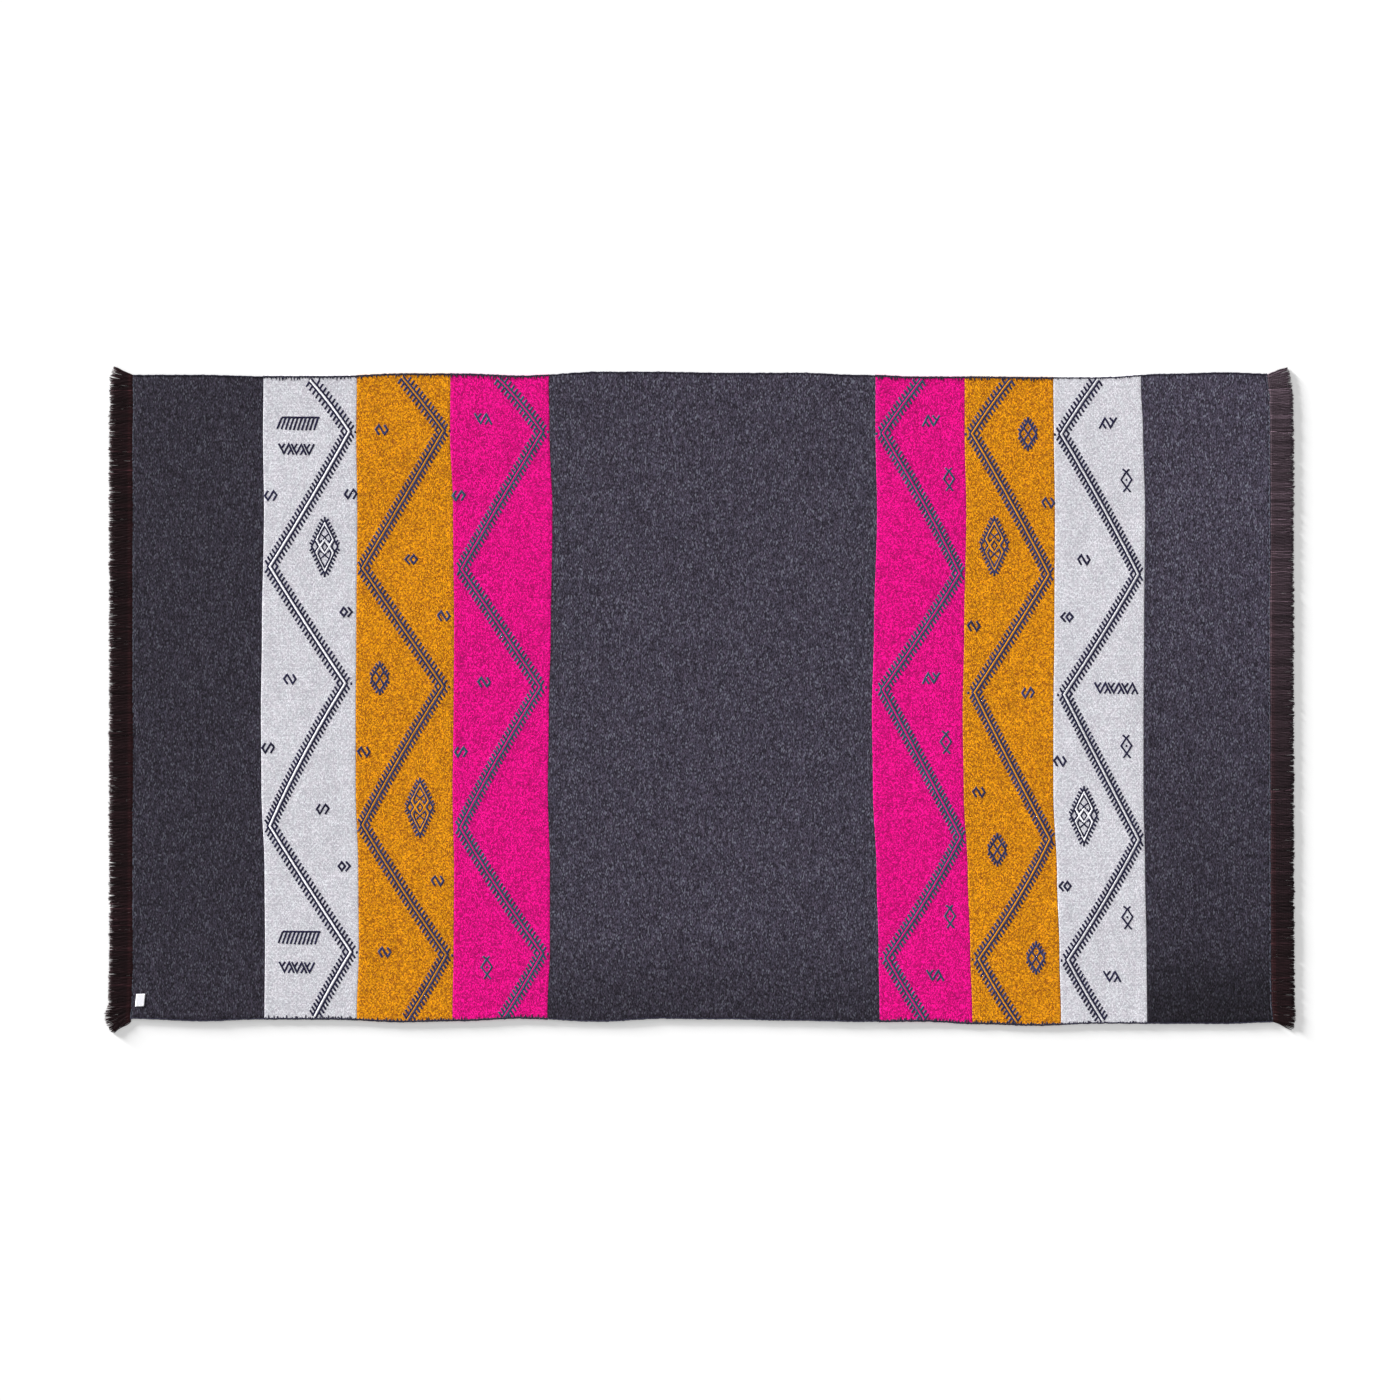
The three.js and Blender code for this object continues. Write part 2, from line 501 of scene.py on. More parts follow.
@dataclass(frozen=True)
class WeaveFinish:
    """Wool woven in short floats that run across the throw."""

    name: str
    yarn: Color
    warm: Color
    cool: Color
    fleck: Color
    fleck_share: float
    shade: Color
    speckle: float
    grain: Color = (0.7, 0.46, 0.7)
    dashes: float = 0.0
    patch: float = 0.03
    streak: float = 0.0
    rib: float = 0.05
    rib_pitch: float = 8.7
    pitch: float = 1.95
    float_length: float = 2.7
    roughness: float = 0.9
    sheen: float = 0.02
    specular: float = 0.05
    far_edge_shade: float = 0.8
    far_shade_reach: float = 11
    end_reach: float = 9
    end_share: float = 0.0
    painted_sheen: PaintedGroundSheen | None = None
    CLUMPS = (0.3, 0.2, 0.3)
    PATCHES = (0.028, 0.02, 0.028)
    STREAKS = (0.45, 0.022, 0.45)
    HUES = (0.12, 0.08, 0.12)
    FIBRES = (2.4, 0.7, 2.4)
    BENDS = (0.03, 0.012, 0.03)
    DRIFTS = (0.05, 0.03, 0.05)
    BASE_SHARE = 0.6
    FLECK_COVER = 0.7
    LEAST_TONE = 0.1
    DASH_STEP = 7.8

    def material(self) -> Material:
        """Build the material.

        Returns:
            The woven wool material.
        """
        board = NodeBoard(self.name, self.roughness, self.sheen, self.specular)
        place = board.place()
        cell, crown = self.floats(board, place)
        layers = (
            (board.noise(place, self.grain, 1.0), 1.5 * self.speckle),
            (board.noise(place, self.CLUMPS, 1.0), 0.55 * self.speckle),
            (cell, 0.9 * self.speckle),
            (board.noise(place, self.PATCHES, 3.0), 2 * self.patch),
            (board.noise(place, self.STREAKS, 2.0), 4 * self.streak),
            # The float's rounded height also lightens its crown and darkens its ends: painted shade between
            # the floats.
            (crown, 0.1),
        )
        tone = 1.0
        for layer, reach in layers:
            tone = board.swing(layer, reach, tone)
        tone = self.ribbed(board, place, tone)
        # Painted shade: the tone darkens towards the far long edge.
        edge = board.ramp(board.number("far_edge"), 0.0, self.far_shade_reach)
        edge = board.math("MULTIPLY_ADD", edge, 1 - self.far_edge_shade, self.far_edge_shade)
        tone = board.math("MULTIPLY", tone, edge)
        hues = board.noise(place, self.HUES, 2.0)
        color = board.blend(self.steep(board, hues), self.cool, self.warm)
        color = board.blend(self.BASE_SHARE, color, self.yarn)
        dark = board.math("SUBTRACT", 1.0, board.math("MAXIMUM", tone, self.LEAST_TONE))
        color = board.blend(board.math("MAXIMUM", dark, 0.0), color, self.shade)
        color = board.toned(color, board.math("MAXIMUM", tone, 1.0))
        close = board.ramp(board.number("end"), self.end_reach, 0.0)
        limit = board.math("MULTIPLY_ADD", close, -self.end_share, 1 - self.fleck_share)
        flecked = board.math("MULTIPLY", board.math("GREATER_THAN", cell, limit), self.FLECK_COVER)
        if self.dashes:
            flecked = board.math("MAXIMUM", flecked, self.dashed(board, place))
        color = board.blend(flecked, color, self.fleck)
        # Painted sheen: the ground is made lighter where the lights' glare falls.
        if self.painted_sheen:
            color = board.toned(color, self.painted_sheen.tone(board, place))
        fibres = board.noise(place, self.FIBRES, 2.0)
        height = board.math("MULTIPLY_ADD", fibres, 0.25, crown)
        board.bump(height, depth=0.22, strength=0.32)
        return board.finish(color)

    def dashed(self, board: NodeBoard, place: Socket) -> Socket:
        """Return short dashes in rows, where the warp shows between the floats.

        Args:
            board: The material's node board.
            place: The place in millimetres.

        Returns:
            How much of the warp's colour shows.
        """
        x, y, _ = board.parts(place)
        rows = board.math("DIVIDE", y, self.rib_pitch / 2)
        row = board.math("FLOOR", rows)
        steps = board.math("MULTIPLY_ADD", row, 0.5, board.math("DIVIDE", x, self.DASH_STEP))
        luck = board.luck(board.math("FLOOR", steps), row)
        high = board.rise(board.middling(rows), 0.55)
        wide = board.rise(board.middling(steps), 0.5)
        shown = board.math("MULTIPLY", board.math("MULTIPLY", high, wide), luck)
        return board.math("MULTIPLY", shown, self.dashes)

    def ribbed(self, board: NodeBoard, place: Socket, tone: object) -> Socket:
        """Return a tone with faint ribs that run along the throw.

        Args:
            board: The material's node board.
            place: The place in millimetres.
            tone: The tone so far.

        Returns:
            The tone with its ribs.
        """
        bend = board.noise(place, self.BENDS, 2.0)
        bend = board.math("MULTIPLY", bend, 2.4)
        turns = board.math("MULTIPLY_ADD", board.parts(place)[1], 1 / self.rib_pitch, bend)
        ribs = board.wave(turns)
        return board.math("MULTIPLY_ADD", ribs, self.rib, tone)

    def floats(self, board: NodeBoard, place: Socket) -> tuple:
        """Lay out the floats of the weave.

        Args:
            board: The material's node board.
            place: The place in millimetres.

        Returns:
            A random number for each float, and its rounded height.
        """
        drift = board.noise(place, self.DRIFTS, 1.0)
        parts = board.parts(place)
        across = board.math("DIVIDE", board.swing(drift, 1.6, parts[0]), self.pitch)
        column = board.math("FLOOR", across)
        shift = board.add("ShaderNodeTexWhiteNoise", {"W": column}, noise_dimensions="1D").outputs["Value"]
        along = board.math("DIVIDE", parts[1], self.float_length)
        along = board.math("MULTIPLY_ADD", shift, 9.0, along)
        cell = board.luck(column, board.math("FLOOR", along))
        side = self.rounded(board, across, 2.0)
        end = self.rounded(board, along, 8.0)
        return cell, board.math("MULTIPLY", side, end)

    def rounded(self, board: NodeBoard, value: Socket, power: float) -> Socket:
        """Return a bump of 0 to 1 over each whole step of a value."""
        return board.math("SUBTRACT", 1.0, board.math("POWER", board.middling(value), power))

    def steep(self, board: NodeBoard, value: Socket) -> Socket:
        """Return noise spread over the whole range from 0 to 1."""
        inputs = {"Value": value, "From Min": 0.35, "From Max": 0.65}
        return board.add("ShaderNodeMapRange", inputs).outputs[0]


@dataclass(frozen=True)
class StrokeFinish:
    """Wool floats of a woven motif, each stroke with a tone of its own."""

    name: str
    yarn: Color
    glint: Color
    pitch: float = 1.3
    SPECKLES = (0.5, 0.32, 0.5)
    STRANDS = (1.9, 0.5, 1.9)

    def material(self) -> Material:
        """Build the material.

        Returns:
            The motif yarn's material.
        """
        board = NodeBoard(self.name, roughness=0.8, sheen=0.0, specular=0.08)
        place = board.place()
        speckle = board.noise(place, self.SPECKLES, 3.0, 0.6)
        strands = board.noise(place, self.STRANDS, 2.0)
        tone = board.swing(speckle, 0.5, board.number("tone"))
        tone = board.swing(strands, 0.25, tone)
        share = board.math("MULTIPLY", board.math("POWER", speckle, 6.0), 6.0)
        color = board.blend(share, self.yarn, self.glint)
        color = board.toned(color, tone)
        rows = board.math("SINE", board.math("MULTIPLY", board.parts(place)[0], FULL_TURN / self.pitch))
        board.bump(board.math("MULTIPLY_ADD", strands, 1.2, rows), depth=0.16, strength=0.5)
        return board.finish(color)


@dataclass(frozen=True)
class FringeFinish:
    """Loose plied warp yarn, redder where it leaves the cloth, and lightened by a painted sheen where a
    piece stores its share.
    """

    name: str
    yarn: Color
    root: Color
    fringe_sheen: Color
    root_length: tuple = (13.0, 9.0)
    ply_pitch: float = 3.4
    SPECKLES = (0.22, 0.5, 0.5)

    def material(self) -> Material:
        """Build the material.

        Returns:
            The fringe yarn's material.
        """
        board = NodeBoard(self.name, roughness=0.6, sheen=0.02, specular=0.09)
        place = board.place()
        along = board.number("along")
        turn = board.number("turn")
        speckle = board.noise(place, self.SPECKLES, 3.0, 0.6)
        color = board.blend(board.ramp(along, *self.root_length), self.yarn, self.root)
        # Painted sheen: the yarn is lightened where the lights' glare falls.
        color = board.blend(board.number("fringe_sheen"), color, self.fringe_sheen)
        tone = board.swing(speckle, 0.45, board.number("tone"))
        twist = board.math("MULTIPLY_ADD", along, 1 / self.ply_pitch, board.math("MULTIPLY", turn, 2.0))
        plies = board.wave(twist)
        # The ply twist also lightens and darkens the tone: painted shade in the twist's grooves.
        tone = board.math("MULTIPLY_ADD", plies, 0.08, tone)
        board.bump(plies, depth=0.2, strength=0.4)
        return board.finish(board.toned(color, tone))


@dataclass(frozen=True)
class TapeFinish:
    """White woven tape with a fine twill line."""

    name: str
    tape: Color
    shade: Color
    pitch: float = 0.7
    CLOUDS = (0.3, 0.3, 0.3)

    def material(self) -> Material:
        """Build the material.

        Returns:
            The tape's material.
        """
        board = NodeBoard(self.name, roughness=0.7, sheen=0.05, specular=0.3)
        place = board.place()
        parts = board.parts(place)
        slant = board.math("ADD", parts[0], board.math("MULTIPLY", parts[1], 0.6))
        lines = board.math("SINE", board.math("MULTIPLY", slant, FULL_TURN / self.pitch))
        soft = board.noise(place, self.CLOUDS, 2.0)
        share = board.math("MULTIPLY_ADD", lines, 0.12, soft)
        board.bump(lines, depth=0.08, strength=0.3)
        return board.finish(board.blend(share, self.tape, self.shade))


@dataclass(frozen=True)
class FloorFinish:
    """Plain pale floor."""

    name: str
    paint: Color
    CLOUDS = (0.004, 0.004, 0.004)

    def material(self) -> Material:
        """Build the material.

        Returns:
            The floor's material.
        """
        board = NodeBoard(self.name, roughness=0.95, sheen=0.0, specular=0.0)
        cloud = board.noise(board.place(), self.CLOUDS, 1.0)
        tone = board.swing(cloud, 0.004, 1.0)
        return board.finish(board.toned(self.paint, tone))


class Dye(Enum):
    """The colours of the throw's woven bands."""

    WHITE = "white"
    MUSTARD = "mustard"
    MAGENTA = "magenta"


GROUND = WeaveFinish(
    "ground_wool",
    yarn=(0.0208, 0.0179, 0.0272),
    warm=(0.0219, 0.0173, 0.0262),
    cool=(0.0197, 0.0187, 0.0286),
    fleck=(0.080, 0.083, 0.104),
    fleck_share=0.075,
    shade=(0.0058, 0.0043, 0.0074),
    speckle=1.15,
    grain=(0.62, 0.38, 0.62),
    streak=0.14,
    rib=0.0,
    pitch=1.7,
    float_length=3.9,
    roughness=0.8,
    sheen=0.015,
    specular=0.1,
    far_edge_shade=0.6,
    far_shade_reach=7,
    end_share=0.2,
    painted_sheen=PaintedGroundSheen(),
)

BAND_WOOL = {
    Dye.WHITE: WeaveFinish(
        "white_wool",
        yarn=(0.470, 0.468, 0.500),
        warm=(0.490, 0.462, 0.500),
        cool=(0.455, 0.478, 0.498),
        fleck=(0.29, 0.25, 0.31),
        fleck_share=0.006,
        shade=(0.20, 0.175, 0.235),
        speckle=0.36,
        dashes=0.75,
        far_edge_shade=0.93,
    ),
    Dye.MUSTARD: WeaveFinish(
        "mustard_wool",
        yarn=(0.442, 0.171, 0.0024),
        warm=(0.452, 0.161, 0.0024),
        cool=(0.430, 0.181, 0.0030),
        fleck=(0.250, 0.070, 0.022),
        fleck_share=0.006,
        shade=(0.170, 0.036, 0.006),
        speckle=0.88,
        dashes=0.75,
    ),
    Dye.MAGENTA: WeaveFinish(
        "magenta_wool",
        yarn=(0.510, 0.0024, 0.150),
        warm=(0.535, 0.0024, 0.144),
        cool=(0.485, 0.0028, 0.157),
        fleck=(0.270, 0.0030, 0.090),
        fleck_share=0.006,
        shade=(0.200, 0.0015, 0.060),
        speckle=0.84,
        dashes=0.6,
        patch=0.05,
        far_edge_shade=0.7,
    ),
}

MOTIF_WOOL = {
    Dye.WHITE: StrokeFinish("motif_on_white", yarn=(0.0075, 0.0068, 0.028), glint=(0.05, 0.05, 0.07)),
    Dye.MUSTARD: StrokeFinish("motif_on_mustard", yarn=(0.015, 0.020, 0.069), glint=(0.09, 0.08, 0.13)),
    Dye.MAGENTA: StrokeFinish("motif_on_magenta", yarn=(0.011, 0.041, 0.075), glint=(0.06, 0.16, 0.18)),
}

LINE_WOOL = {
    Dye.WHITE: StrokeFinish("line_on_white", yarn=(0.61, 0.605, 0.635), glint=(0.8, 0.8, 0.8)),
    Dye.MUSTARD: StrokeFinish("line_on_mustard", yarn=(0.48, 0.190, 0.006), glint=(0.56, 0.23, 0.012)),
    Dye.MAGENTA: StrokeFinish("line_on_magenta", yarn=(0.53, 0.0024, 0.157), glint=(0.62, 0.004, 0.18)),
}

SELVEDGE_WOOL = StrokeFinish("selvedge_wool", yarn=(0.014, 0.013, 0.026), glint=(0.06, 0.06, 0.08))
END_WOOL = StrokeFinish("end_row_wool", yarn=(0.040, 0.044, 0.060), glint=(0.10, 0.11, 0.14))
FRINGE_WOOL = FringeFinish(
    "fringe_wool", yarn=(0.0120, 0.0043, 0.0056), root=(0.0230, 0.0070, 0.0085), fringe_sheen=(0.074, 0.052, 0.066)
)
LABEL_TAPE = TapeFinish("label_tape", tape=(0.74, 0.74, 0.77), shade=(0.64, 0.64, 0.69))
LABEL_THREAD = TapeFinish("label_thread", tape=(0.82, 0.82, 0.82), shade=(0.7, 0.7, 0.72))
FLOOR = FloorFinish("floor_paint", paint=(0.8, 0.8, 0.8))


@dataclass(frozen=True)
class SheetGrid:
    """A closed woven sheet over a grid: rounded edges, a flat underside and a map for its own surface."""

    columns: int
    rows: int
    edge_radius: float
    edge_drop: float
    raised: float
    underside: float
    TOP_MAP = (0.996, 0.93), (0.002, 0.065)
    WALL_MAP = (0.999, 0.936), (0.0005, 0.062)
    UNDER_MAP = (0.996, 0.05), (0.002, 0.002)

    def shares(self, count: int, size: float) -> Points:
        """Return grid shares from 0 to 1, with extra lines close to both ends.

        Args:
            count: Number of grid lines, before the extra ones.
            size: The sheet's size in millimetres.

        Returns:
            The shares in rising order.
        """
        close = np.array([0.0, 0.12, 0.4, 1.0]) * self.edge_radius / size
        inner = np.linspace(close[-1], 1 - close[-1], count - 2 * len(close) + 3)
        return np.concatenate([close[:-1], inner, 1 - close[:-1][::-1]])

    def build(self, name: str, start: Line, end: Line, spill: float,
              finish: Material, slot: str) -> Piece:
        """Build the sheet between two cross lines and the throw's long edges.

        Args:
            name: The piece's name.
            start: Function from y to the x of the sheet's left line.
            end: Function from y to the x of its right line.
            spill: How far the sheet reaches past the cloth's long edges, in millimetres.
            finish: Its material.
            slot: Not used.

        Returns:
            The new piece.
        """
        middle = np.zeros(1)
        width = float((end(middle) - start(middle))[0])
        low, high = SHORT_ENDS[0].y, SHORT_ENDS[-1].y
        u = self.shares(self.columns, width)
        v = self.shares(self.rows, high - low)
        grid_u, grid_v = np.meshgrid(u, v)
        across = low + (high - low) * grid_v
        x = start(across) + (end(across) - start(across)) * grid_u
        near, far = FORM.near(x) - spill, FORM.far(x) + spill
        y = near + (far - near) * grid_v
        from_end = np.minimum(grid_u, 1 - grid_u) * width
        from_side = np.minimum(grid_v, 1 - grid_v) * (high - low)
        inset = np.minimum(from_end, from_side)
        fall = 1 - np.clip(inset / self.edge_radius, 0, 1)
        z = FORM.top(x, y) + self.raised - self.edge_drop * (1 - np.sqrt(1 - fall * fall * 0.999))
        top = np.stack([x, y, z], axis=-1)
        points, faces, places = self.closed(top, grid_u, grid_v)
        piece = new_piece(name, points, faces, finish)
        layer = piece.data.uv_layers.new(name="OFBake")
        layer.data.foreach_set("uv", places.astype(np.float32).ravel())
        flat = points[:, :2]
        add_numbers(piece, "far_edge", FORM.far(flat[:, 0]) - flat[:, 1])
        to_left, to_right = flat[:, 0] - FORM.left(flat[:, 1]), FORM.right(flat[:, 1]) - flat[:, 0]
        add_numbers(piece, "end", np.minimum(to_left, to_right))
        return piece

    def closed(self, top: Points, grid_u: Points, grid_v: Points) -> tuple:
        """Close a sheet with walls and an underside.

        Args:
            top: The upper face's grid of points.
            grid_u: Each point's share along the throw.
            grid_v: Each point's share across the throw.

        Returns:
            The points, the faces and the map place of each face corner.
        """
        rows, columns = grid_u.shape
        index = np.arange(rows * columns).reshape(rows, columns)
        ring = np.concatenate([index[0, :-1], index[:-1, -1], index[-1, :0:-1], index[:0:-1, 0]])
        flat = top.reshape(-1, 3)
        under = flat[ring] * (1, 1, 0) + (0, 0, self.underside)
        points = np.concatenate([flat, under])
        below = dict(zip(ring.tolist(), range(len(flat), len(flat) + len(ring))))
        corners = index[:-1, :-1], index[:-1, 1:], index[1:, 1:], index[1:, :-1]
        upper = np.stack(corners, axis=-1).reshape(-1, 4)
        following = np.roll(ring, -1)
        walls = [[below[a], below[b], b, a] for a, b in zip(ring.tolist(), following.tolist())]
        bottom = self.underside_faces(index, below)
        faces = upper.tolist() + walls + bottom
        shares = np.stack([grid_u.ravel(), grid_v.ravel()], axis=-1)
        ring_map = shares[ring] * self.WALL_MAP[0] + self.WALL_MAP[1]
        around = np.concatenate([shares * self.TOP_MAP[0] + self.TOP_MAP[1], ring_map])
        under_map = np.concatenate([shares, shares[ring]]) * self.UNDER_MAP[0] + self.UNDER_MAP[1]
        places = [around[face] for face in upper.tolist() + walls]
        places += [under_map[face] for face in bottom]
        return points, faces, np.concatenate(places)

    def underside_faces(self, index: Points, below: dict) -> list:
        """Return long underside faces from edge to edge, with a fan at each end.

        Args:
            index: The upper face's grid of point numbers.
            below: The lower point under each point of the rim.

        Returns:
            The faces.
        """
        near = [below[i] for i in index[0].tolist()]
        far = [below[i] for i in index[-1].tolist()]
        left = [below[i] for i in index[:, 0].tolist()]
        right = [below[i] for i in index[:, -1].tolist()]
        last = len(near) - 2
        faces = [[near[i], far[i], far[i + 1], near[i + 1]] for i in range(1, last)]
        faces += [[near[1], left[j], left[j + 1]] for j in range(len(left) - 1)]
        faces.append([near[1], far[0], far[1]])
        faces += [[near[last], right[j + 1], right[j]] for j in range(len(right) - 1)]
        faces.append([near[last], far[last], far[last + 1]])
        return faces


@dataclass(frozen=True)
class Stroke:
    """One woven line: its points in millimetres or chart steps, its width in millimetres."""

    points: tuple
    width: float = 4.0
    closed: bool = False
    light: bool = False
    blunt: bool = True
    taper: float = 1.0


class StrokeField:
    """Many woven strokes joined in one piece, laid on the cloth's upper face."""

    SECTION = ((-0.5, -0.3), (-0.4, 0.7), (0.0, 1.0), (0.4, 0.7), (0.5, -0.3))
    STEP = 3.6
    JITTER = 0.14
    SPREAD = 1.14
    WIDTHS = (0.9, 1.1)
    HEIGHTS = (0.8, 1.1)
    TONES = (0.75, 1.25)
    LEAST_MITRE = 0.62

    def __init__(self, name: str, seed: int, raised: float, height: float) -> None:
        """Start an empty field.

        Args:
            name: The piece's name.
            seed: Seed of the small unevenness.
            raised: Height of the band's face above the ground weave, in millimetres.
            height: Height of a stroke above that face.
        """
        self.name = name
        self.draw = np.random.default_rng(seed)
        self.raised = raised
        self.height = height
        self.points: list = []
        self.faces: list = []
        self.tones: list = []
        self.count = 0

    def add(self, stroke: Stroke) -> None:
        """Lay one stroke.

        Args:
            stroke: The stroke.
        """
        path = self.resampled(np.array(stroke.points, dtype=float), stroke.closed)
        across = self.mitres(path, stroke.closed)
        total = len(path)
        widths = stroke.width * self.SPREAD * self.draw.uniform(*self.WIDTHS, total)
        widths *= np.linspace(1.0, stroke.taper, total)
        heights = self.height * self.draw.uniform(*self.HEIGHTS, total)
        path = path + self.draw.normal(0, self.JITTER, (total, 1)) * across
        if not stroke.closed:
            path, across, widths, heights = self.capped(path, across, widths, heights, stroke.blunt)
            total = len(path)
        rings = []
        for share, lift in self.SECTION:
            side = path + across * (widths * share)[:, None]
            z = FORM.top(side[:, 0], side[:, 1]) + self.raised + heights * lift
            rings.append(np.column_stack([side, z]))
        points = np.stack(rings, axis=1).reshape(-1, 3)
        self.faces += self.tube_faces(total, len(self.SECTION), stroke.closed)
        self.points.append(points)
        self.tones.append(np.full(len(points), self.draw.uniform(*self.TONES)))
        self.count += len(points)

    def resampled(self, corners: Points, closed: bool) -> Points:
        """Return a path with a point at least every step, keeping its corners.

        Args:
            corners: The stroke's corners.
            closed: Whether it comes back to its start.

        Returns:
            The path.
        """
        ends = np.roll(corners, -1, axis=0) if closed else corners[1:]
        starts = corners if closed else corners[:-1]
        path = []
        for start, end in zip(starts, ends):
            pieces = max(1, math.ceil(np.linalg.norm(end - start) / self.STEP))
            shares = np.arange(pieces)[:, None] / pieces
            path.append(start + (end - start) * shares)
        if not closed:
            path.append(corners[-1:])
        return np.concatenate(path)

    def mitres(self, path: Points, closed: bool) -> Points:
        """Return the sideways direction at each point, longer where the path turns.

        Args:
            path: The path.
            closed: Whether it comes back to its start.

        Returns:
            The direction at each point.
        """
        forward = np.roll(path, -1, axis=0) - path
        if not closed:
            forward[-1] = forward[-2]
        forward /= np.linalg.norm(forward, axis=1)[:, None]
        behind = np.roll(forward, 1, axis=0)
        if not closed:
            behind[0] = forward[0]
        normal = np.column_stack([-forward[:, 1], forward[:, 0]])
        normal_behind = np.column_stack([-behind[:, 1], behind[:, 0]])
        mitre = normal + normal_behind
        mitre /= np.maximum(np.linalg.norm(mitre, axis=1), 1e-6)[:, None]
        stretch = 1 / np.maximum((mitre * normal).sum(axis=1), self.LEAST_MITRE)
        return mitre * stretch[:, None]

    def capped(self, path: Points, across: Points, widths: Points, heights: Points, blunt: bool) -> tuple:
        """Return the path with a narrow rounded point added at each end.

        Args:
            path: The path.
            across: The sideways direction at each point.
            widths: The width at each point.
            heights: The height at each point.
            blunt: Whether the ends are blunt.

        Returns:
            The four with their end points.
        """
        reach = 1.0 if blunt else 0.3
        narrow = 0.76
        first = path[0] - self.unit(path[1] - path[0]) * reach
        last = path[-1] + self.unit(path[-1] - path[-2]) * reach
        path = np.concatenate([first[None], path, last[None]])
        across = np.concatenate([across[:1], across, across[-1:]])
        widths = np.concatenate([widths[:1] * narrow, widths, widths[-1:] * narrow])
        heights = np.concatenate([heights[:1] * narrow, heights, heights[-1:] * narrow])
        return path, across, widths, heights

    @staticmethod
    def unit(vector: Points) -> Points:
        """Return a vector of length one."""
        return vector / max(float(np.linalg.norm(vector)), 1e-9)

    def tube_faces(self, total: int, sides: int, closed: bool) -> list:
        """Return the faces that join the stroke's sections.

        Args:
            total: Number of sections.
            sides: Number of points in a section.
            closed: Whether the stroke comes back to its start.

        Returns:
            The faces.
        """
        base = self.count
        faces = []
        for step in range(total if closed else total - 1):
            here = base + step * sides
            there = base + ((step + 1) % total) * sides
            for side in range(sides):
                after = (side + 1) % sides
                faces.append([here + side, here + after, there + after, there + side])
        if not closed:
            faces.append([base + side for side in range(sides)][::-1])
            faces.append([base + (total - 1) * sides + side for side in range(sides)])
        return faces

    def piece(self, finish: Material, slot: str) -> Piece:
        """Join all the strokes.

        Args:
            finish: The piece's material.
            slot: Not used.

        Returns:
            The new piece.
        """
        piece = new_piece(self.name, np.concatenate(self.points), self.faces, finish)
        add_numbers(piece, "tone", np.concatenate(self.tones))
        return piece


class MotifKind(Enum):
    """The woven motifs of the throw, all of the old lozenge and hook family."""

    HOOK = "hook"
    EYE = "eye"
    COMB = "comb"
    RUNNING = "running"
    CROSSED = "crossed"
    NET = "net"
    LOZENGE = "lozenge"


@dataclass(frozen=True)
class Motif:
    """One motif at its place on the cloth."""

    kind: MotifKind
    x: float
    y: float
    mirrored: bool = False
    repeats: int = 1
    squeeze: float = 1.0
    open_end: bool = False

    def strokes(self) -> list:
        """Chart the motif.

        Returns:
            Its strokes, placed on the cloth.
        """
        charts = {
            MotifKind.HOOK: chart_hook,
            MotifKind.EYE: chart_eye,
            MotifKind.COMB: chart_comb,
            MotifKind.RUNNING: chart_running,
            MotifKind.CROSSED: chart_crossed,
            MotifKind.NET: chart_net,
            MotifKind.LOZENGE: chart_lozenge,
        }
        across = PIXEL * self.squeeze * (-1 if self.mirrored else 1)
        placed = []
        for line in charts[self.kind](self):
            points = tuple((self.x + across * a, self.y + PIXEL * b) for a, b in line.points)
            placed.append(Stroke(points, line.width, line.closed, line.light))
        return placed


def motifs(kind: MotifKind, *places: tuple, **settings: object) -> tuple:
    """Return one motif at several places, alike in its other settings."""
    return tuple(Motif(kind, x, y, **settings) for x, y in places)


def chart_hook(_: Motif) -> list:
    """Chart a small angular double hook."""
    return [Stroke(((-2.8, 4.6), (-5.8, 0.0), (-2.8, -4.5), (2.8, 4.6), (6.0, 0.7), (2.7, -4.7)))]


def chart_eye(_: Motif) -> list:
    """Chart a small diamond with an open chevron beside it."""
    diamond = ((-2.3, 4.2), (1.0, 0.0), (-2.3, -4.3), (-5.6, 0.0))
    return [Stroke(diamond, closed=True), Stroke(((2.1, 4.4), (5.9, 0.0), (1.9, -4.7)))]


def chart_comb(_: Motif) -> list:
    """Chart a row of slanting strokes that hang from a bar.

    Args:
        _: The motif, which has no choices here.

    Returns:
        The strokes.
    """
    pitch, count = 4.05, 10
    first = -13.1
    strokes = [Stroke(((first, 5.5), (first + pitch * (count - 1), 5.3)), width=3.6)]
    for step in range(count):
        x = first + pitch * step
        drop = -5.2 - 1.9 * math.sin((step + 1) / count * 2.1)
        strokes.append(Stroke(((x, 5.4), (x - 1.2, 4.2), (x - 5.0, drop)), width=3.9))
    return strokes


def chart_running(motif: Motif) -> list:
    """Chart a run of pointed turns with a barb on each slope.

    Args:
        motif: The motif, with its number of turns.

    Returns:
        The strokes.
    """
    pitch = 14.6
    strokes = []
    for step in range(motif.repeats):
        x = (step - (motif.repeats - 1) / 2) * pitch
        y = -0.3 * step
        turns = ((-8.3, 5.0), (-2.6, -4.8), (3.0, 4.9), (8.4, -5.4))
        barbs = (((-5.0, 1.2), (-2.0, 4.9)), ((5.2, -1.0), (2.2, -5.4)))
        if motif.open_end and step == motif.repeats - 1:
            turns, barbs = turns[:-1], barbs[:1]
        for path in (turns, *barbs):
            strokes.append(Stroke(tuple((x + a, y + b) for a, b in path), width=3.8))
    return strokes


def chart_crossed(_: Motif) -> list:
    """Chart a diamond whose sides cross past its two points, with a dot inside.

    Args:
        _: The motif, which has no choices here.

    Returns:
        The strokes.
    """
    first = ((-3.5, 10.6), (0.3, 7.7), (5.3, 0.2), (0.4, -7.7), (-2.6, -11.6))
    second = ((2.7, 10.5), (-0.3, 7.6), (-5.2, 0.0), (0.4, -7.6), (4.0, -11.7))
    dot = Stroke(((-0.4, 0.0), (0.4, 0.1)), width=4.4)
    return [Stroke(first, width=3.5), Stroke(second, width=3.5), dot]


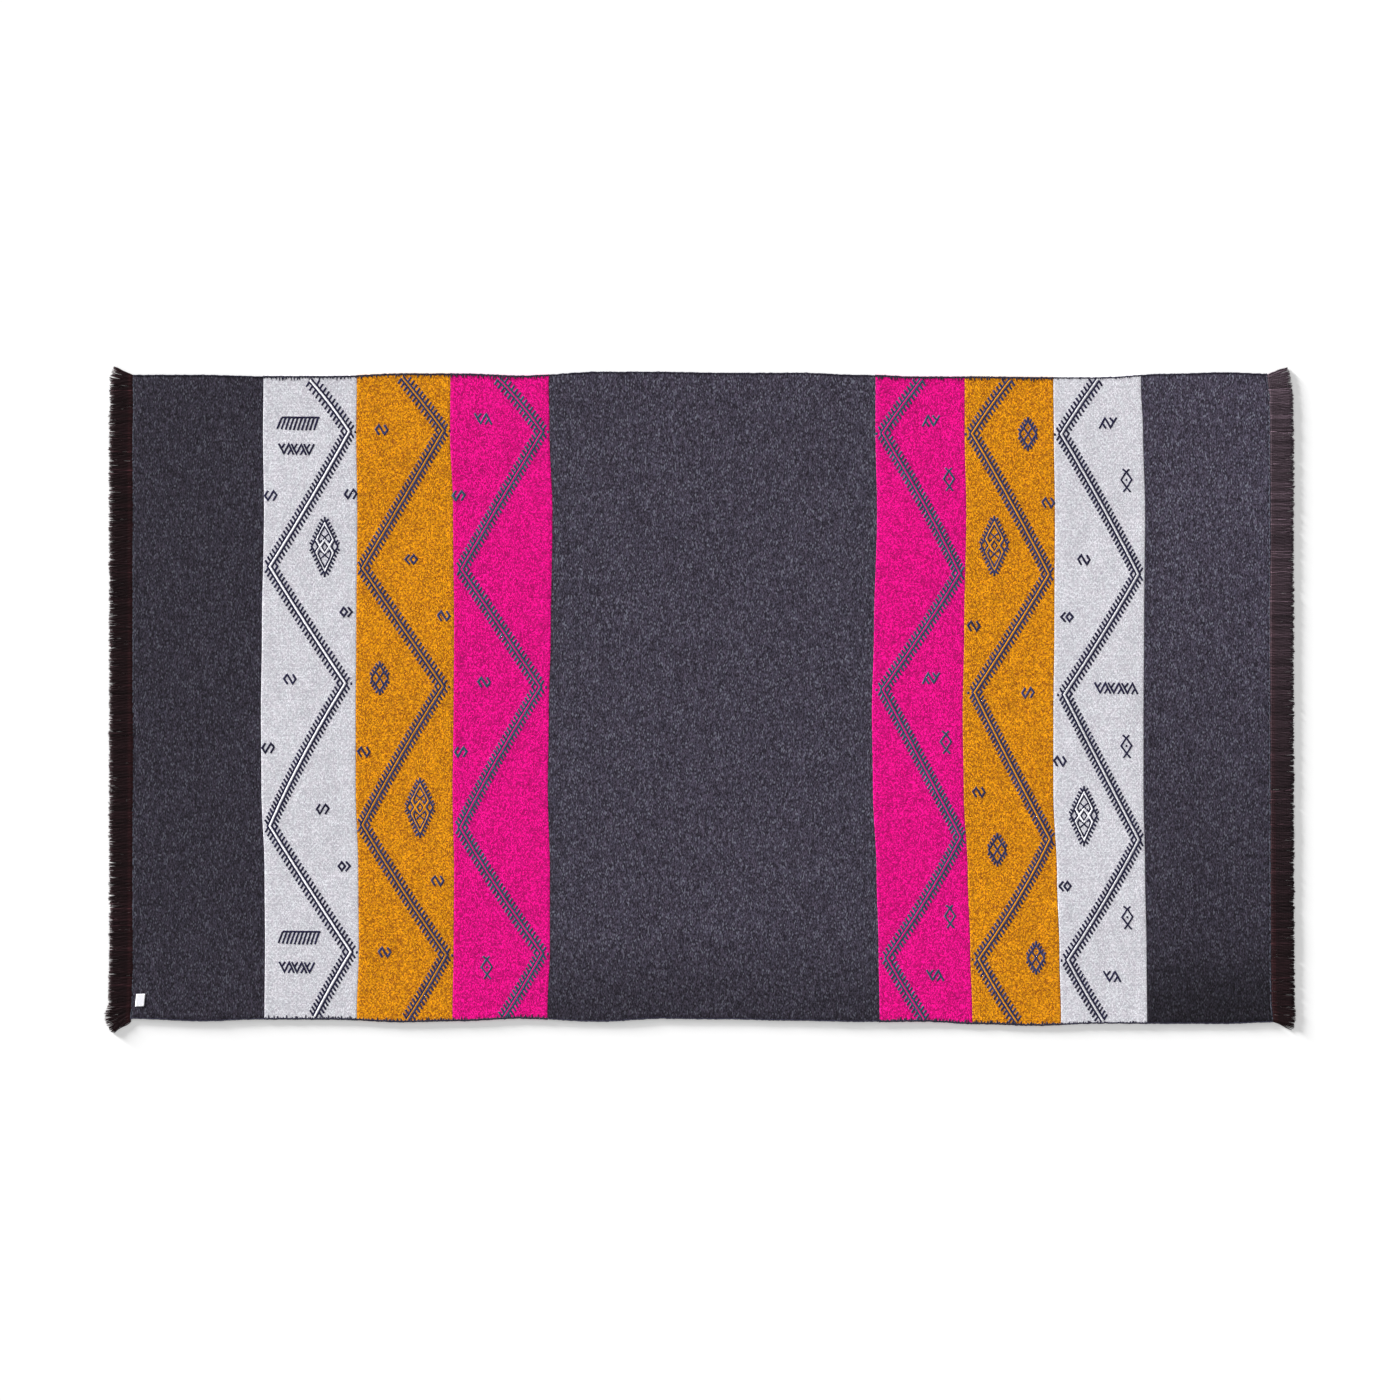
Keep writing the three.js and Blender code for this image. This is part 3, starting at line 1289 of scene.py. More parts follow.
def edge_teeth(start: tuple, end: tuple, tooth: tuple, count: int, width: float) -> list:
    """Chart short teeth along an edge.

    Args:
        start: First end of the edge.
        end: Its other end.
        tooth: Step from the root of a tooth to its tip.
        count: Number of teeth.
        width: Width of a tooth in millimetres.

    Returns:
        The teeth.
    """
    teeth = []
    for step in range(count):
        share = (step + 0.5) / count
        x = start[0] + (end[0] - start[0]) * share
        y = start[1] + (end[1] - start[1]) * share
        teeth.append(Stroke(((x, y), (x + tooth[0], y + tooth[1])), width=width))
    return teeth


def chart_net(_: Motif) -> list:
    """Chart a lozenge of four netted cells with teeth all round.

    Args:
        _: The motif, which has no choices here.

    Returns:
        The strokes.
    """
    half, tall = 8.5, 13.2
    corners = ((0, tall), (half, 0), (0, -tall), (-half, 0))
    strokes = [Stroke(corners, width=3.9, closed=True)]
    middles = [((a[0] + b[0]) / 2, (a[1] + b[1]) / 2) for a, b in zip(corners, corners[1:] + corners[:1])]
    strokes.append(Stroke((middles[0], middles[2]), width=3.6))
    strokes.append(Stroke((middles[1], middles[3]), width=3.6))
    for x, y in ((0, tall / 2), (half / 2, 0), (0, -tall / 2), (-half / 2, 0)):
        strokes.append(Stroke(((x - 0.25, y), (x + 0.25, y)), width=2.1))
    for hand_x, hand_y in ((1, 1), (1, -1), (-1, -1), (-1, 1)):
        tooth = (1.6 * hand_x, 2.7 * hand_y)
        strokes += edge_teeth((0.9 * hand_x, tall * hand_y), (half * hand_x, 0.9 * hand_y), tooth, 4, 3.9)
    strokes += [Stroke(((0, tall * hand), (0, (tall + 3.2) * hand)), width=4.2) for hand in (1, -1)]
    return strokes


LOZENGE_TEETH = (
    ((10.6, 6.4), (13.4, 1.2), (1.9, 2.0), 2, 3.4),
    ((10.6, -5.2), (13.4, -0.2), (1.9, -2.0), 2, 3.4),
    ((0.7, 27.2), (10.2, 7.4), (2.2, 2.3), 6, 3.8),
    ((0.9, -27.0), (10.2, -5.6), (2.2, -2.3), 6, 3.8),
)

LOZENGE_HOOKS = (
    (3.3, (0, 20.8), (4.5, 13.2), (6.3, 8.2), (4.9, 4.6), (2.9, 6.8)),
    (3.3, (0, -20.4), (4.5, -11.9), (6.3, -6.8), (4.9, -3.2), (2.9, -5.4)),
    (2.9, (3.5, 12.9), (0, 9.7), (-1.6, 7.9)),
    (2.9, (3.4, -10.9), (0, -7.8), (-1.6, -6.1)),
)


def chart_lozenge(_: Motif) -> list:
    """Chart a tall lozenge: two linked light loops, hooks and small diamonds inside, teeth all round.

    Args:
        _: The motif, which has no choices here.

    Returns:
        The strokes.
    """
    upper = ((0, 24.0), (-8.4, 7.2), (0, -6.4), (8.4, 7.2))
    lower = ((0.2, -24.0), (-8.6, -5.4), (0, 7.4), (8.6, -5.4))
    strokes = [Stroke(light, width=2.9, closed=True, light=True) for light in (upper, lower)]
    for hand in (1, -1):
        side = ((0.1, 27.2), (hand * 10.0, 7.0), (hand * 6.7, 0.7), (hand * 10.0, -4.9), (0.2, -26.8))
        strokes.append(Stroke(side, width=3.4))
        strokes.append(Stroke(mirrored(hand, (10.0, 6.4), (13.1, 0.7), (10.0, -4.6)), width=3.3))
        for first, last, tooth, count, width in LOZENGE_TEETH:
            start, end, step = mirrored(hand, first, last, tooth)
            strokes += edge_teeth(start, end, step, count, width)
        for width, *hook in LOZENGE_HOOKS:
            strokes.append(Stroke(mirrored(hand, *hook), width=width))
    for root, tip in ((26.6, 30.0), (-26.6, -29.6)):
        strokes.append(Stroke(((0, root), (0, tip)), width=3.8))
    strokes.append(Stroke(((0, 4.9), (2.9, 0.4), (0, -4.2), (-2.9, 0.4)), width=3.0, closed=True))
    return strokes


def mirrored(hand: int, *points: tuple) -> tuple:
    """Return points with their x turned to one side."""
    return tuple((hand * x, y) for x, y in points)


@dataclass(frozen=True)
class Zigzag:
    """A tall zigzag from edge to edge: two dark lines with a light one between, and teeth on both sides."""

    turns: tuple
    bows: tuple
    dot_side: int = 1
    line_offset: float = 3.3
    line_width: float = 3.5
    light_width: float = 2.8
    tooth_pitch: float = 7.3
    tooth_run: float = 5.8
    tooth_rise: float = 8.7
    tooth_width: float = 3.9
    outer_start: float = 3.0
    dot_reach: float = 12.0

    def strokes(self) -> list:
        """Chart the zigzag.

        Returns:
            Its strokes.
        """
        turns = np.array(self.turns, dtype=float)
        path = self.bowed(turns)
        strokes = [Stroke(tuple(map(tuple, path)), width=self.light_width, light=True)]
        for hand in (1, -1):
            strokes.append(Stroke(self.beside(path, hand), width=self.line_width))
        for start, end, bow in zip(turns[:-1], turns[1:], self.bows):
            strokes += self.teeth(start, end, bow)
        for before, turn, after in zip(turns[:-2], turns[1:-1], turns[2:]):
            if self.dot_side * (turn[0] - (before[0] + after[0]) / 2) > 0:
                x, y = turn[0] + self.dot_side * self.dot_reach, turn[1] - 1.2
                strokes.append(Stroke(((x - 1.0, y), (x + 1.0, y)), width=4.8))
        return strokes

    def bowed(self, turns: Points) -> Points:
        """Return the turns with points between them, where each slope bows a little sideways.

        Args:
            turns: The turns.

        Returns:
            The path.
        """
        path = []
        for start, end, bow in zip(turns[:-1], turns[1:], self.bows):
            for share in np.arange(6) / 6:
                path.append(start + (end - start) * share + (self.bend(share, bow), 0))
        return np.array([*path, turns[-1]])

    @staticmethod
    def bend(share: float, bow: float) -> float:
        """Return the sideways step at a share of a slope that bows by some amount in its middle."""
        return 4 * share * (1 - share) * bow

    def beside(self, path: Points, hand: int) -> tuple:
        """Return the path of a dark line to one side of the light one.

        Args:
            path: The light line's path.
            hand: The side, 1 or -1.

        Returns:
            The dark line's path.
        """
        forward = path[1:] - path[:-1]
        forward /= np.linalg.norm(forward, axis=1)[:, None]
        normal = np.column_stack([-forward[:, 1], forward[:, 0]])
        before = np.concatenate([normal[:1], normal])
        after = np.concatenate([normal, normal[-1:]])
        mitre = before + after
        mitre /= np.linalg.norm(mitre, axis=1)[:, None]
        stretch = self.line_offset / (mitre * after).sum(axis=1)
        return tuple(map(tuple, path + hand * mitre * stretch[:, None]))

    def teeth(self, start: Points, end: Points, bow: float) -> list:
        """Chart the teeth of one slope, whose first inner teeth close a small diamond with their twins.

        Args:
            start: One end of the slope.
            end: Its other end.
            bow: How far the slope bows sideways in its middle.

        Returns:
            The teeth on both sides.
        """
        rise = abs(end[1] - start[1])
        slope = (end[0] - start[0]) / (end[1] - start[1])
        lean = 1 if slope > 0 else -1
        low, high = sorted((start, end), key=lambda point: point[1])
        side = self.line_offset * math.sqrt(1 + slope * slope)
        span = rise - self.tooth_rise - self.outer_start
        count = max(2, round(span / self.tooth_pitch) + 1)
        teeth = []
        for hand in (1, -1):
            heading = -hand * lean
            inner = high if heading > 0 else low
            for offset in np.linspace(self.tooth_rise, self.tooth_rise + span, count):
                y = inner[1] - heading * offset
                root = inner[0] - heading * offset * slope + hand * side + self.bend(offset / rise, bow)
                tip = (root + hand * self.tooth_run, y + heading * self.tooth_rise)
                teeth.append(Stroke(((root, y), tip), width=self.tooth_width))
        return teeth


@dataclass(frozen=True)
class ColourBand:
    """A woven colour band with its zigzag and motifs."""

    name: str
    dye: Dye
    seams: tuple
    start: str
    end: str
    zigzag: Zigzag
    motifs: tuple
    far_ticks: float = 1.0
    near_ticks: float = 1.0
    raised: float = 0.25
    motif_height: float = 0.26

    def left(self, y: Points) -> Points:
        """Return the place of the band's left seam."""
        return ease(self.seams, "y", self.start, y)

    def right(self, y: Points) -> Points:
        """Return the place of the band's right seam."""
        return ease(self.seams, "y", self.end, y)

    def build(self) -> list:
        """Build the band's sheet and its motifs.

        Returns:
            The new pieces.
        """
        grid = SheetGrid(44, 236, edge_radius=1.6, edge_drop=0.45, raised=self.raised, underside=0.02)
        wool = BAND_WOOL[self.dye].material()
        sheet = grid.build(f"band_{self.name}", self.left, self.right, 0.35, wool, f"{self.dye.value}_yarn")
        dark = StrokeField(f"motifs_{self.name}", 5, self.raised, self.motif_height)
        light = StrokeField(f"lines_{self.name}", 6, self.raised, self.motif_height * 0.9)
        strokes = self.zigzag.strokes()
        for motif in self.motifs:
            strokes += motif.strokes()
        for stroke in strokes:
            (light if stroke.light else dark).add(stroke)
        dark_piece = dark.piece(MOTIF_WOOL[self.dye].material(), "motif_yarn")
        light_piece = light.piece(LINE_WOOL[self.dye].material(), f"{self.dye.value}_yarn")
        return [sheet, dark_piece, light_piece]


BANDS = (
    ColourBand(
        "white_left", Dye.WHITE, LEFT_SEAMS, "first", "second",
        Zigzag(
            ((-767, 623), (-691, 523), (-847, 258), (-699, 29), (-847, -251), (-688, -498), (-759, -625)),
            (2.9, 2.7, -1.8, -6.7, -1.6, -1.5),
            line_offset=3.7, light_width=3.6,
        ),
        (
            *motifs(MotifKind.COMB, (-796, 540), (-794, -469)),
            *motifs(MotifKind.RUNNING, (-790, 489), (-789, -528), repeats=3, squeeze=0.86, open_end=True),
            *motifs(MotifKind.HOOK, (-845, 397), (-688, 400), (-850, -98), (-743, -218)),
            *motifs(MotifKind.HOOK, (-807, 37), mirrored=True),
            *motifs(MotifKind.EYE, (-697, 169), (-701, -330)),
            *motifs(MotifKind.LOZENGE, (-739, 296)),
        ),
    ),
    ColourBand(
        "mustard_left", Dye.MUSTARD, LEFT_SEAMS, "second", "third",
        Zigzag(
            ((-587, 629), (-506, 525), (-665, 255), (-507, 23), (-665, -249), (-501, -504), (-577, -631)),
            (1.2, 0.2, -0.4, -4.2, -3.1, 1.5),
        ),
        (
            *motifs(MotifKind.HOOK, (-627, 526), (-505, 161), (-662, -106), mirrored=True),
            *motifs(MotifKind.HOOK, (-517, -359), (-621, -499), mirrored=True),
            *motifs(MotifKind.EYE, (-569, 272), mirrored=True),
            *motifs(MotifKind.NET, (-631, 39)),
            *motifs(MotifKind.LOZENGE, (-552, -216)),
        ),
    ),
    ColourBand(
        "magenta_left", Dye.MAGENTA, LEFT_SEAMS, "third", "fourth",
        Zigzag(
            ((-398, 627), (-313, 523), (-471, 253), (-317, 22), (-473, -254), (-313, -501), (-389, -628)),
            (3.3, -1.2, 0.2, -4.0, -4.1, 1.6),
        ),
        (
            *motifs(MotifKind.RUNNING, (-428, 548)),
            *motifs(MotifKind.HOOK, (-476, 397), (-472, -106)),
            *motifs(MotifKind.HOOK, (-426, 31), mirrored=True),
            *motifs(MotifKind.CROSSED, (-421, -528)),
        ),
    ),
    ColourBand(
        "magenta_right", Dye.MAGENTA, RIGHT_SEAMS, "first", "second",
        Zigzag(
            ((432, 625), (356, 520), (507, 245), (356, 17), (509, -273), (365, -510), (438, -632)),
            (-1.5, 4.7, 2.9, 0.6, 5.4, -1.5),
            dot_side=-1,
        ),
        (
            *motifs(MotifKind.RUNNING, (451, 544), (451, 39), mirrored=True),
            *motifs(MotifKind.RUNNING, (459, -544)),
            *motifs(MotifKind.CROSSED, (486, 430), (480, -86), (488, -428)),
        ),
    ),
    ColourBand(
        "mustard_right", Dye.MUSTARD, RIGHT_SEAMS, "second", "third",
        Zigzag(
            ((607, 625), (531, 519), (682, 243), (536, 11), (684, -277), (544, -512), (619, -636)),
            (-2.0, 3.1, 1.8, -1.6, 7.3, -2.2),
            dot_side=-1,
        ),
        (
            *motifs(MotifKind.NET, (641, 518), (581, -298), (657, -510)),
            *motifs(MotifKind.HOOK, (681, 383), (535, 141), (545, -185), mirrored=True),
            *motifs(MotifKind.HOOK, (641, 10)),
            *motifs(MotifKind.LOZENGE, (575, 298)),
        ),
    ),
    ColourBand(
        "white_right", Dye.WHITE, RIGHT_SEAMS, "third", "fourth",
        Zigzag(
            ((778, 625), (706, 518), (857, 243), (712, 7), (858, -278), (719, -514), (788, -633)),
            (-1.4, 3.4, 2.9, -0.6, 4.3, -1.6),
            dot_side=-1, line_offset=3.7, light_width=3.6,
        ),
        (
            *motifs(MotifKind.RUNNING, (798, 540), mirrored=True),
            *motifs(MotifKind.RUNNING, (806, -546)),
            *motifs(MotifKind.CROSSED, (834, 428), (834, -94), (836, -430)),
            *motifs(MotifKind.HOOK, (751, 271), (704, -124), mirrored=True),
            *motifs(MotifKind.EYE, (718, 159), (714, -369), mirrored=True),
            *motifs(MotifKind.RUNNING, (814, 20), repeats=3, squeeze=0.93),
            *motifs(MotifKind.LOZENGE, (751, -232)),
        ),
        far_ticks=0.5,
        near_ticks=0.6,
    ),
)


@dataclass(frozen=True)
class Selvedge:
    """The dark edge yarn of one long edge, with thorn-like ends that reach into the bands."""

    name: str
    far: bool
    cord_inset: float = 0.6
    ground_width: float = 1.8
    band_width: float = 3.2
    tick_pitch: float = 4.8
    tick_width: tuple = (3.2, 5.0)
    tick_lean: float = 1.2
    long_tick: tuple = (4.4, 8.0)
    short_tick: tuple = (2.2, 4.2)
    cord_step: float = 4.5
    least_ground: float = 20

    def build(self) -> Piece:
        """Build the edge yarn.

        Returns:
            The new piece.
        """
        field = StrokeField(self.name, 31 + self.far, raised=0.25, height=0.4)
        draw = np.random.default_rng(41 + self.far)
        side = np.array([SHORT_ENDS[-1].y if self.far else SHORT_ENDS[0].y])
        reached = float(FORM.left(side)[0]) + 3
        for band in BANDS:
            start, end = float(band.left(side)[0]), float(band.right(side)[0])
            if start - reached > self.least_ground:
                self.cord(field, draw, reached, start, self.ground_width)
            ticks = band.far_ticks if self.far else band.near_ticks
            self.cord(field, draw, start, end, self.band_width * min(1.0, 0.5 + ticks / 2))
            self.ticks(field, draw, start, end, ticks)
            reached = end
        self.cord(field, draw, reached, float(FORM.right(side)[0]) - 3, self.ground_width)
        return field.piece(SELVEDGE_WOOL.material(), "motif_yarn")

    def cord(self, field: StrokeField, draw: Draw, start: float, end: float, width: float) -> None:
        """Lay the edge cord.

        Args:
            field: The strokes to add to.
            draw: The generator of the small unevenness.
            start: Where the cord starts along the throw.
            end: Where it ends.
            width: Its width.
        """
        x = np.linspace(start, end, max(2, round((end - start) / self.cord_step)))
        y = self.edge(x) + self.inward * self.cord_inset + draw.normal(0, 0.25, len(x))
        field.add(Stroke(tuple(zip(x, y)), width=width))

    def ticks(self, field: StrokeField, draw: Draw, start: float, end: float, strength: float) -> None:
        """Lay the thorn-like yarn ends of one band.

        Args:
            field: The strokes to add to.
            draw: The generator of the small unevenness.
            start: Where the band starts along the throw.
            end: Where it ends.
            strength: How long the ends are, 1 for the longest.
        """
        place = start + 2
        while place < end - 2:
            reach = draw.uniform(*(self.long_tick if draw.random() < 0.5 else self.short_tick)) * strength
            root = float(self.edge(np.array([place]))[0]) + self.inward * 0.5
            lean = draw.uniform(-self.tick_lean, self.tick_lean)
            tick = ((place, root), (place + lean, root + self.inward * reach))
            width = draw.uniform(*self.tick_width) * (0.5 + strength / 2)
            field.add(Stroke(tick, width=width, blunt=False, taper=0.35))
            place += draw.uniform(0.4, 1.6) * self.tick_pitch

    @property
    def inward(self) -> int:
        """Return the direction from this edge towards the middle of the throw."""
        return -1 if self.far else 1

    def edge(self, x: Points) -> Points:
        """Return the place of this long edge."""
        return FORM.far(x) if self.far else FORM.near(x)


@dataclass(frozen=True)
class EndRows:
    """A row of slanting grey stitches beside a fringe, with some left out."""

    name: str
    right: bool
    pitch: float = 3.4
    inset: float = 2.0
    slant: float = 0.7
    reach: float = 2.6
    skipped: float = 0.3
    stitch_width: tuple = (1.2, 2.0)

    def build(self) -> Piece:
        """Build the row.

        Returns:
            The new piece.
        """
        field = StrokeField(self.name, 51 + self.right, raised=0.0, height=0.25)
        draw = np.random.default_rng(61 + self.right)
        hand = -1 if self.right else 1
        for y in np.arange(-630, 630, self.pitch):
            if draw.random() < self.skipped:
                continue
            end = float((FORM.right if self.right else FORM.left)(np.array([y]))[0])
            x = end + hand * (self.inset + draw.normal(0, 0.3))
            stitch = ((x, y), (x + hand * self.slant, y + self.reach))
            field.add(Stroke(stitch, width=draw.uniform(*self.stitch_width)))
        return field.piece(END_WOOL.material(), "ground_yarn")


@dataclass(frozen=True)
class CornerFan:
    """How the yarns nearest one corner turn outwards, and how long they are."""

    degrees: float
    reach: float
    length: float
    swell: float = 0.0

    def longer(self, share: Points, usual: float) -> Points:
        """Return how much longer than usual a yarn is at a share of closeness to the corner."""
        return share ** 2 * (self.length - usual) + 4 * share * (1 - share) * self.swell


@dataclass(frozen=True)
class Fringe:
    """Loose warp yarns along one short end, in small clumps."""

    name: str
    node: str
    right: bool
    far_fan: CornerFan
    near_fan: CornerFan
    painted_sheen_strength: float = 0.0
    length: float = 44.8
    root_height: float = 1.9
    clump_pitch: float = 8.2
    yarns_per_clump: int = 7
    sections: int = 8
    sides: int = 4
    radius: float = 0.92
    layer_heights: tuple = (1.1, 3.1)
    layer_step: float = 1.0
    lean: float = 1.2
    gather: float = 0.2
    tip_spread: float = 0.8
    clump_spread: float = 0.8
    yarn_spread: float = 0.6
    clump_arch: float = 8.0
    lift_spread: float = 0.12
    clump_tones: tuple = (0.75, 1.3)
    yarn_tones: tuple = (0.65, 1.4)
    glint_share: float = 0.04
    glint_tones: tuple = (1.8, 3.0)
    tucked: float = 2.5
    wave: float = 0.7
    painted_sheen_power: float = 1.7

    def build(self) -> Piece:
        """Build the fringe.

        Returns:
            The new piece.
        """
        draw = np.random.default_rng(71 + self.right)
        low, high = SHORT_ENDS[0].y + 1, SHORT_ENDS[-1].y - 1
        clumps = round((high - low) / self.clump_pitch)
        pitch = (high - low) / clumps
        root_y, tip_shift, length, lift, tones = [], [], [], [], []
        for layer, height in enumerate(self.layer_heights):
            for clump in range(clumps):
                middle = low + (clump + 0.5 * (1 + layer)) * pitch
                lean = draw.normal(0, self.lean)
                clump_length = self.length + draw.normal(0, self.clump_spread) - self.layer_step * layer
                clump_tone = draw.uniform(*self.clump_tones)
                for yarn in range(self.yarns_per_clump):
                    offset = (yarn + 0.5) / self.yarns_per_clump - 0.5
                    root_y.append(min(max(middle + offset * pitch, low), high))
                    tip = lean - offset * pitch * self.gather
                    tip_shift.append(tip + draw.normal(0, self.tip_spread))
                    arch = clump_length - self.clump_arch * offset * offset
                    length.append(arch + draw.normal(0, self.yarn_spread))
                    lift.append(height + draw.normal(0, self.lift_spread))
                    glints = draw.random() < self.glint_share
                    glint = draw.uniform(*self.glint_tones) if glints else 1.0
                    tones.append(clump_tone * draw.uniform(*self.yarn_tones) * glint)
        arrays = [np.array(column) for column in (root_y, tip_shift, length, lift, tones)]
        return self.laid(draw, *arrays)

    def laid(self, draw: Draw, root_y: Points, tip_shift: Points, length: Points,
             lift: Points, tones: Points) -> Piece:
        """Lay the yarns out and join them.

        Args:
            draw: The generator of the small unevenness.
            root_y: Place of each yarn across the throw.
            tip_shift: Sideways step of its tip.
            length: Its length.
            lift: Height of its tip above the floor.
            tones: Its tone.

        Returns:
            The new piece.
        """
        hand = 1 if self.right else -1
        end = (FORM.right if self.right else FORM.left)(root_y)
        share = np.linspace(0, 1, self.sections)
        far_share, near_share = self.corner_shares(root_y)
        angle = np.radians(far_share * self.far_fan.degrees - near_share * self.near_fan.degrees)
        extra = self.far_fan.longer(far_share, self.length)
        length = length + extra + self.near_fan.longer(near_share, self.length)
        forward = np.stack([hand * np.cos(angle), np.sin(angle)], axis=-1)
        sideways = np.stack([-np.sin(angle) * hand, np.cos(angle)], axis=-1)
        along = (length[:, None] + 3) * share
        each = (len(root_y), 1)
        wave = draw.normal(0, self.wave, each) * np.sin(share * draw.uniform(4, 9, each))
        drift = tip_shift[:, None] * share ** 1.6 + wave
        start = np.stack([end - hand * self.tucked, root_y], axis=-1)
        plan = start[:, None, :] + forward[:, None, :] * along[..., None]
        plan = plan + sideways[:, None, :] * drift[..., None]
        root = np.minimum(lift, self.root_height)[:, None]
        height = root + (lift[:, None] - root) * share + 0.2 * np.sin(share * 11 + root_y[:, None])
        radius = self.radius * (1 - 0.45 * np.clip(share - 0.8, 0, 1) * 5) * np.ones_like(height)
        height = np.maximum(height, radius + 0.02)
        turn = np.arange(self.sides) / self.sides
        rim_side = np.cos(FULL_TURN * turn)
        rim_up = np.sin(FULL_TURN * turn)
        points = np.empty((len(root_y), self.sections, self.sides, 3))
        reach = radius[..., None] * rim_side
        points[..., :2] = plan[:, :, None, :] + sideways[:, None, None, :] * reach[..., None]
        points[..., 2] = height[..., None] + radius[..., None] * rim_up
        faces = self.yarn_faces(len(root_y))
        piece = new_piece(self.name, points.reshape(-1, 3), faces, FRINGE_WOOL.material())
        shape = points.shape[:3]
        add_numbers(piece, "tone", np.broadcast_to(tones[:, None, None], shape).ravel())
        add_numbers(piece, "along", np.broadcast_to(along[..., None], shape).ravel())
        add_numbers(piece, "turn", np.broadcast_to(turn, shape).ravel())
        low, high = SHORT_ENDS[0].y, SHORT_ENDS[-1].y
        # Painted sheen, strongest at the far end of the fringe.
        fringe_sheen = self.painted_sheen_strength * np.clip((root_y - low) / (high - low), 0, 1) ** self.painted_sheen_power
        add_numbers(piece, "fringe_sheen", np.broadcast_to(fringe_sheen[:, None, None], shape).ravel())
        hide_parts(self.node)
        return piece

    def corner_shares(self, root_y: Points) -> tuple:
        """Return how close each yarn is to the far and to the near corner, 1 at the corner itself.

        Args:
            root_y: Place of each yarn across the throw.

        Returns:
            The two shares.
        """
        from_far = np.clip(1 - (SHORT_ENDS[-1].y - root_y) / self.far_fan.reach, 0, 1)
        from_near = np.clip(1 - (root_y - SHORT_ENDS[0].y) / self.near_fan.reach, 0, 1)
        return from_far, from_near

    def yarn_faces(self, yarns: int) -> list:
        """Return the faces of all the yarns, wound to look outwards.

        Args:
            yarns: Number of yarns.

        Returns:
            The faces.
        """
        faces = []
        for yarn in range(yarns):
            base = yarn * self.sections * self.sides
            own = []
            for step in range(self.sections - 1):
                here = base + step * self.sides
                there = here + self.sides
                for side in range(self.sides):
                    after = (side + 1) % self.sides
                    own.append([here + side, there + side, there + after, here + after])
            own.append([base + side for side in range(self.sides)])
            own.append([base + (self.sections - 1) * self.sides + side for side in range(self.sides)][::-1])
            faces += own if self.right else [face[::-1] for face in own]
        return faces


@dataclass(frozen=True)
class Label:
    """A small bare white tape sewn to the cloth's lower left corner."""

    x: float = -1101
    y: float = -593
    width: float = 17.2
    height: float = 24.5
    lean: float = 2.6
    rise: float = 0.8
    thickness: float = 0.7
    hem: float = 1.6
    stitch_pitch: float = 2.2
    rim_drop: float = 0.12

    def build(self) -> list:
        """Build the tape and its stitches.

        Returns:
            The new pieces.
        """
        bpy.ops.object.select_all(action="DESELECT")
        bpy.ops.mesh.primitive_grid_add(x_subdivisions=12, y_subdivisions=16, size=1)
        grid = bpy.context.object
        bpy.ops.object.modifier_add(type="SOLIDIFY")
        grid.modifiers[-1].thickness = self.thickness * MM
        grid.modifiers[-1].offset = 0
        outline = np.array([vertex.co[:] for vertex in grid.data.vertices])
        for vertex, (u, v, _) in zip(grid.data.vertices, outline):
            vertex.co = Vector(self.place(u, v)) * MM
        bpy.ops.object.modifier_apply(modifier=grid.modifiers[-1].name)
        grid.name = grid.data.name = "label_tape"
        grid.data.materials.append(LABEL_TAPE.material())
        grid.data.shade_smooth()
        bpy.ops.object.select_all(action="DESELECT")
        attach(grid, "root")
        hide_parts("label")
        return [grid, self.stitches()]

    def place(self, u: float, v: float) -> tuple:
        """Return a point of the tape at shares from -0.5 to 0.5, in millimetres from the origin.

        Args:
            u: Share along the throw.
            v: Share across it.

        Returns:
            The point.
        """
        x = self.x + u * self.width + v * self.lean
        y = self.y + v * self.height + u * self.rise
        top = float(FORM.top(np.array([x]), np.array([y]))[0])
        edge = max(abs(u), abs(v)) * 2
        z = top + self.thickness * 0.7 - self.rim_drop * max(0.0, edge - 0.8) / 0.2
        shift = FORM.shift()
        return (x + shift[0], y + shift[1], z)

    def stitches(self) -> Piece:
        """Sew the tape down along its four sides.

        Returns:
            The new piece.
        """
        field = StrokeField("label_stitches", 81, raised=self.thickness * 0.95, height=0.3)
        inset_u = 0.5 - self.hem / self.width
        inset_v = 0.5 - self.hem / self.height
        corners = [(-inset_u, -inset_v), (inset_u, -inset_v), (inset_u, inset_v), (-inset_u, inset_v)]
        shift = FORM.shift()
        for start, end in zip(corners, corners[1:] + corners[:1]):
            first = np.array(self.place(*start)[:2]) - shift[:2]
            last = np.array(self.place(*end)[:2]) - shift[:2]
            count = round(float(np.linalg.norm(last - first)) / self.stitch_pitch)
            for step in range(count):
                a = first + (last - first) * (step + 0.18) / count
                b = first + (last - first) * (step + 0.82) / count
                field.add(Stroke((tuple(a), tuple(b)), width=0.7, blunt=False))
        return field.piece(LABEL_THREAD.material(), "label_tape")


@dataclass(frozen=True)
class Throw:
    """The whole throw."""

    def build(self) -> None:
        grid = SheetGrid(columns=300, rows=150, edge_radius=2.2, edge_drop=1.6, raised=0.0, underside=0.15)
        cloth = grid.build("cloth_weave", FORM.left, FORM.right, 0.0, GROUND.material(), "ground_yarn")
        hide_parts("cloth")
        worn = []
        for band in BANDS:
            worn += band.build()
        worn.append(Selvedge("selvedge_far", far=True).build())
        worn.append(Selvedge("selvedge_near", far=False).build())
        worn.append(EndRows("end_rows_left", right=False).build())
        worn.append(EndRows("end_rows_right", right=True).build())
        corners = CornerFan(23, 24, 38), CornerFan(36, 34, 37, swell=7)
        worn.append(Fringe("fringe_left_yarns", "fringe_left", False, *corners).build())
        corners = CornerFan(24, 30, 42), CornerFan(22, 24, 41)
        worn.append(Fringe("fringe_right_yarns", "fringe_right", True, *corners, painted_sheen_strength=1.0).build())
        worn += Label().build()


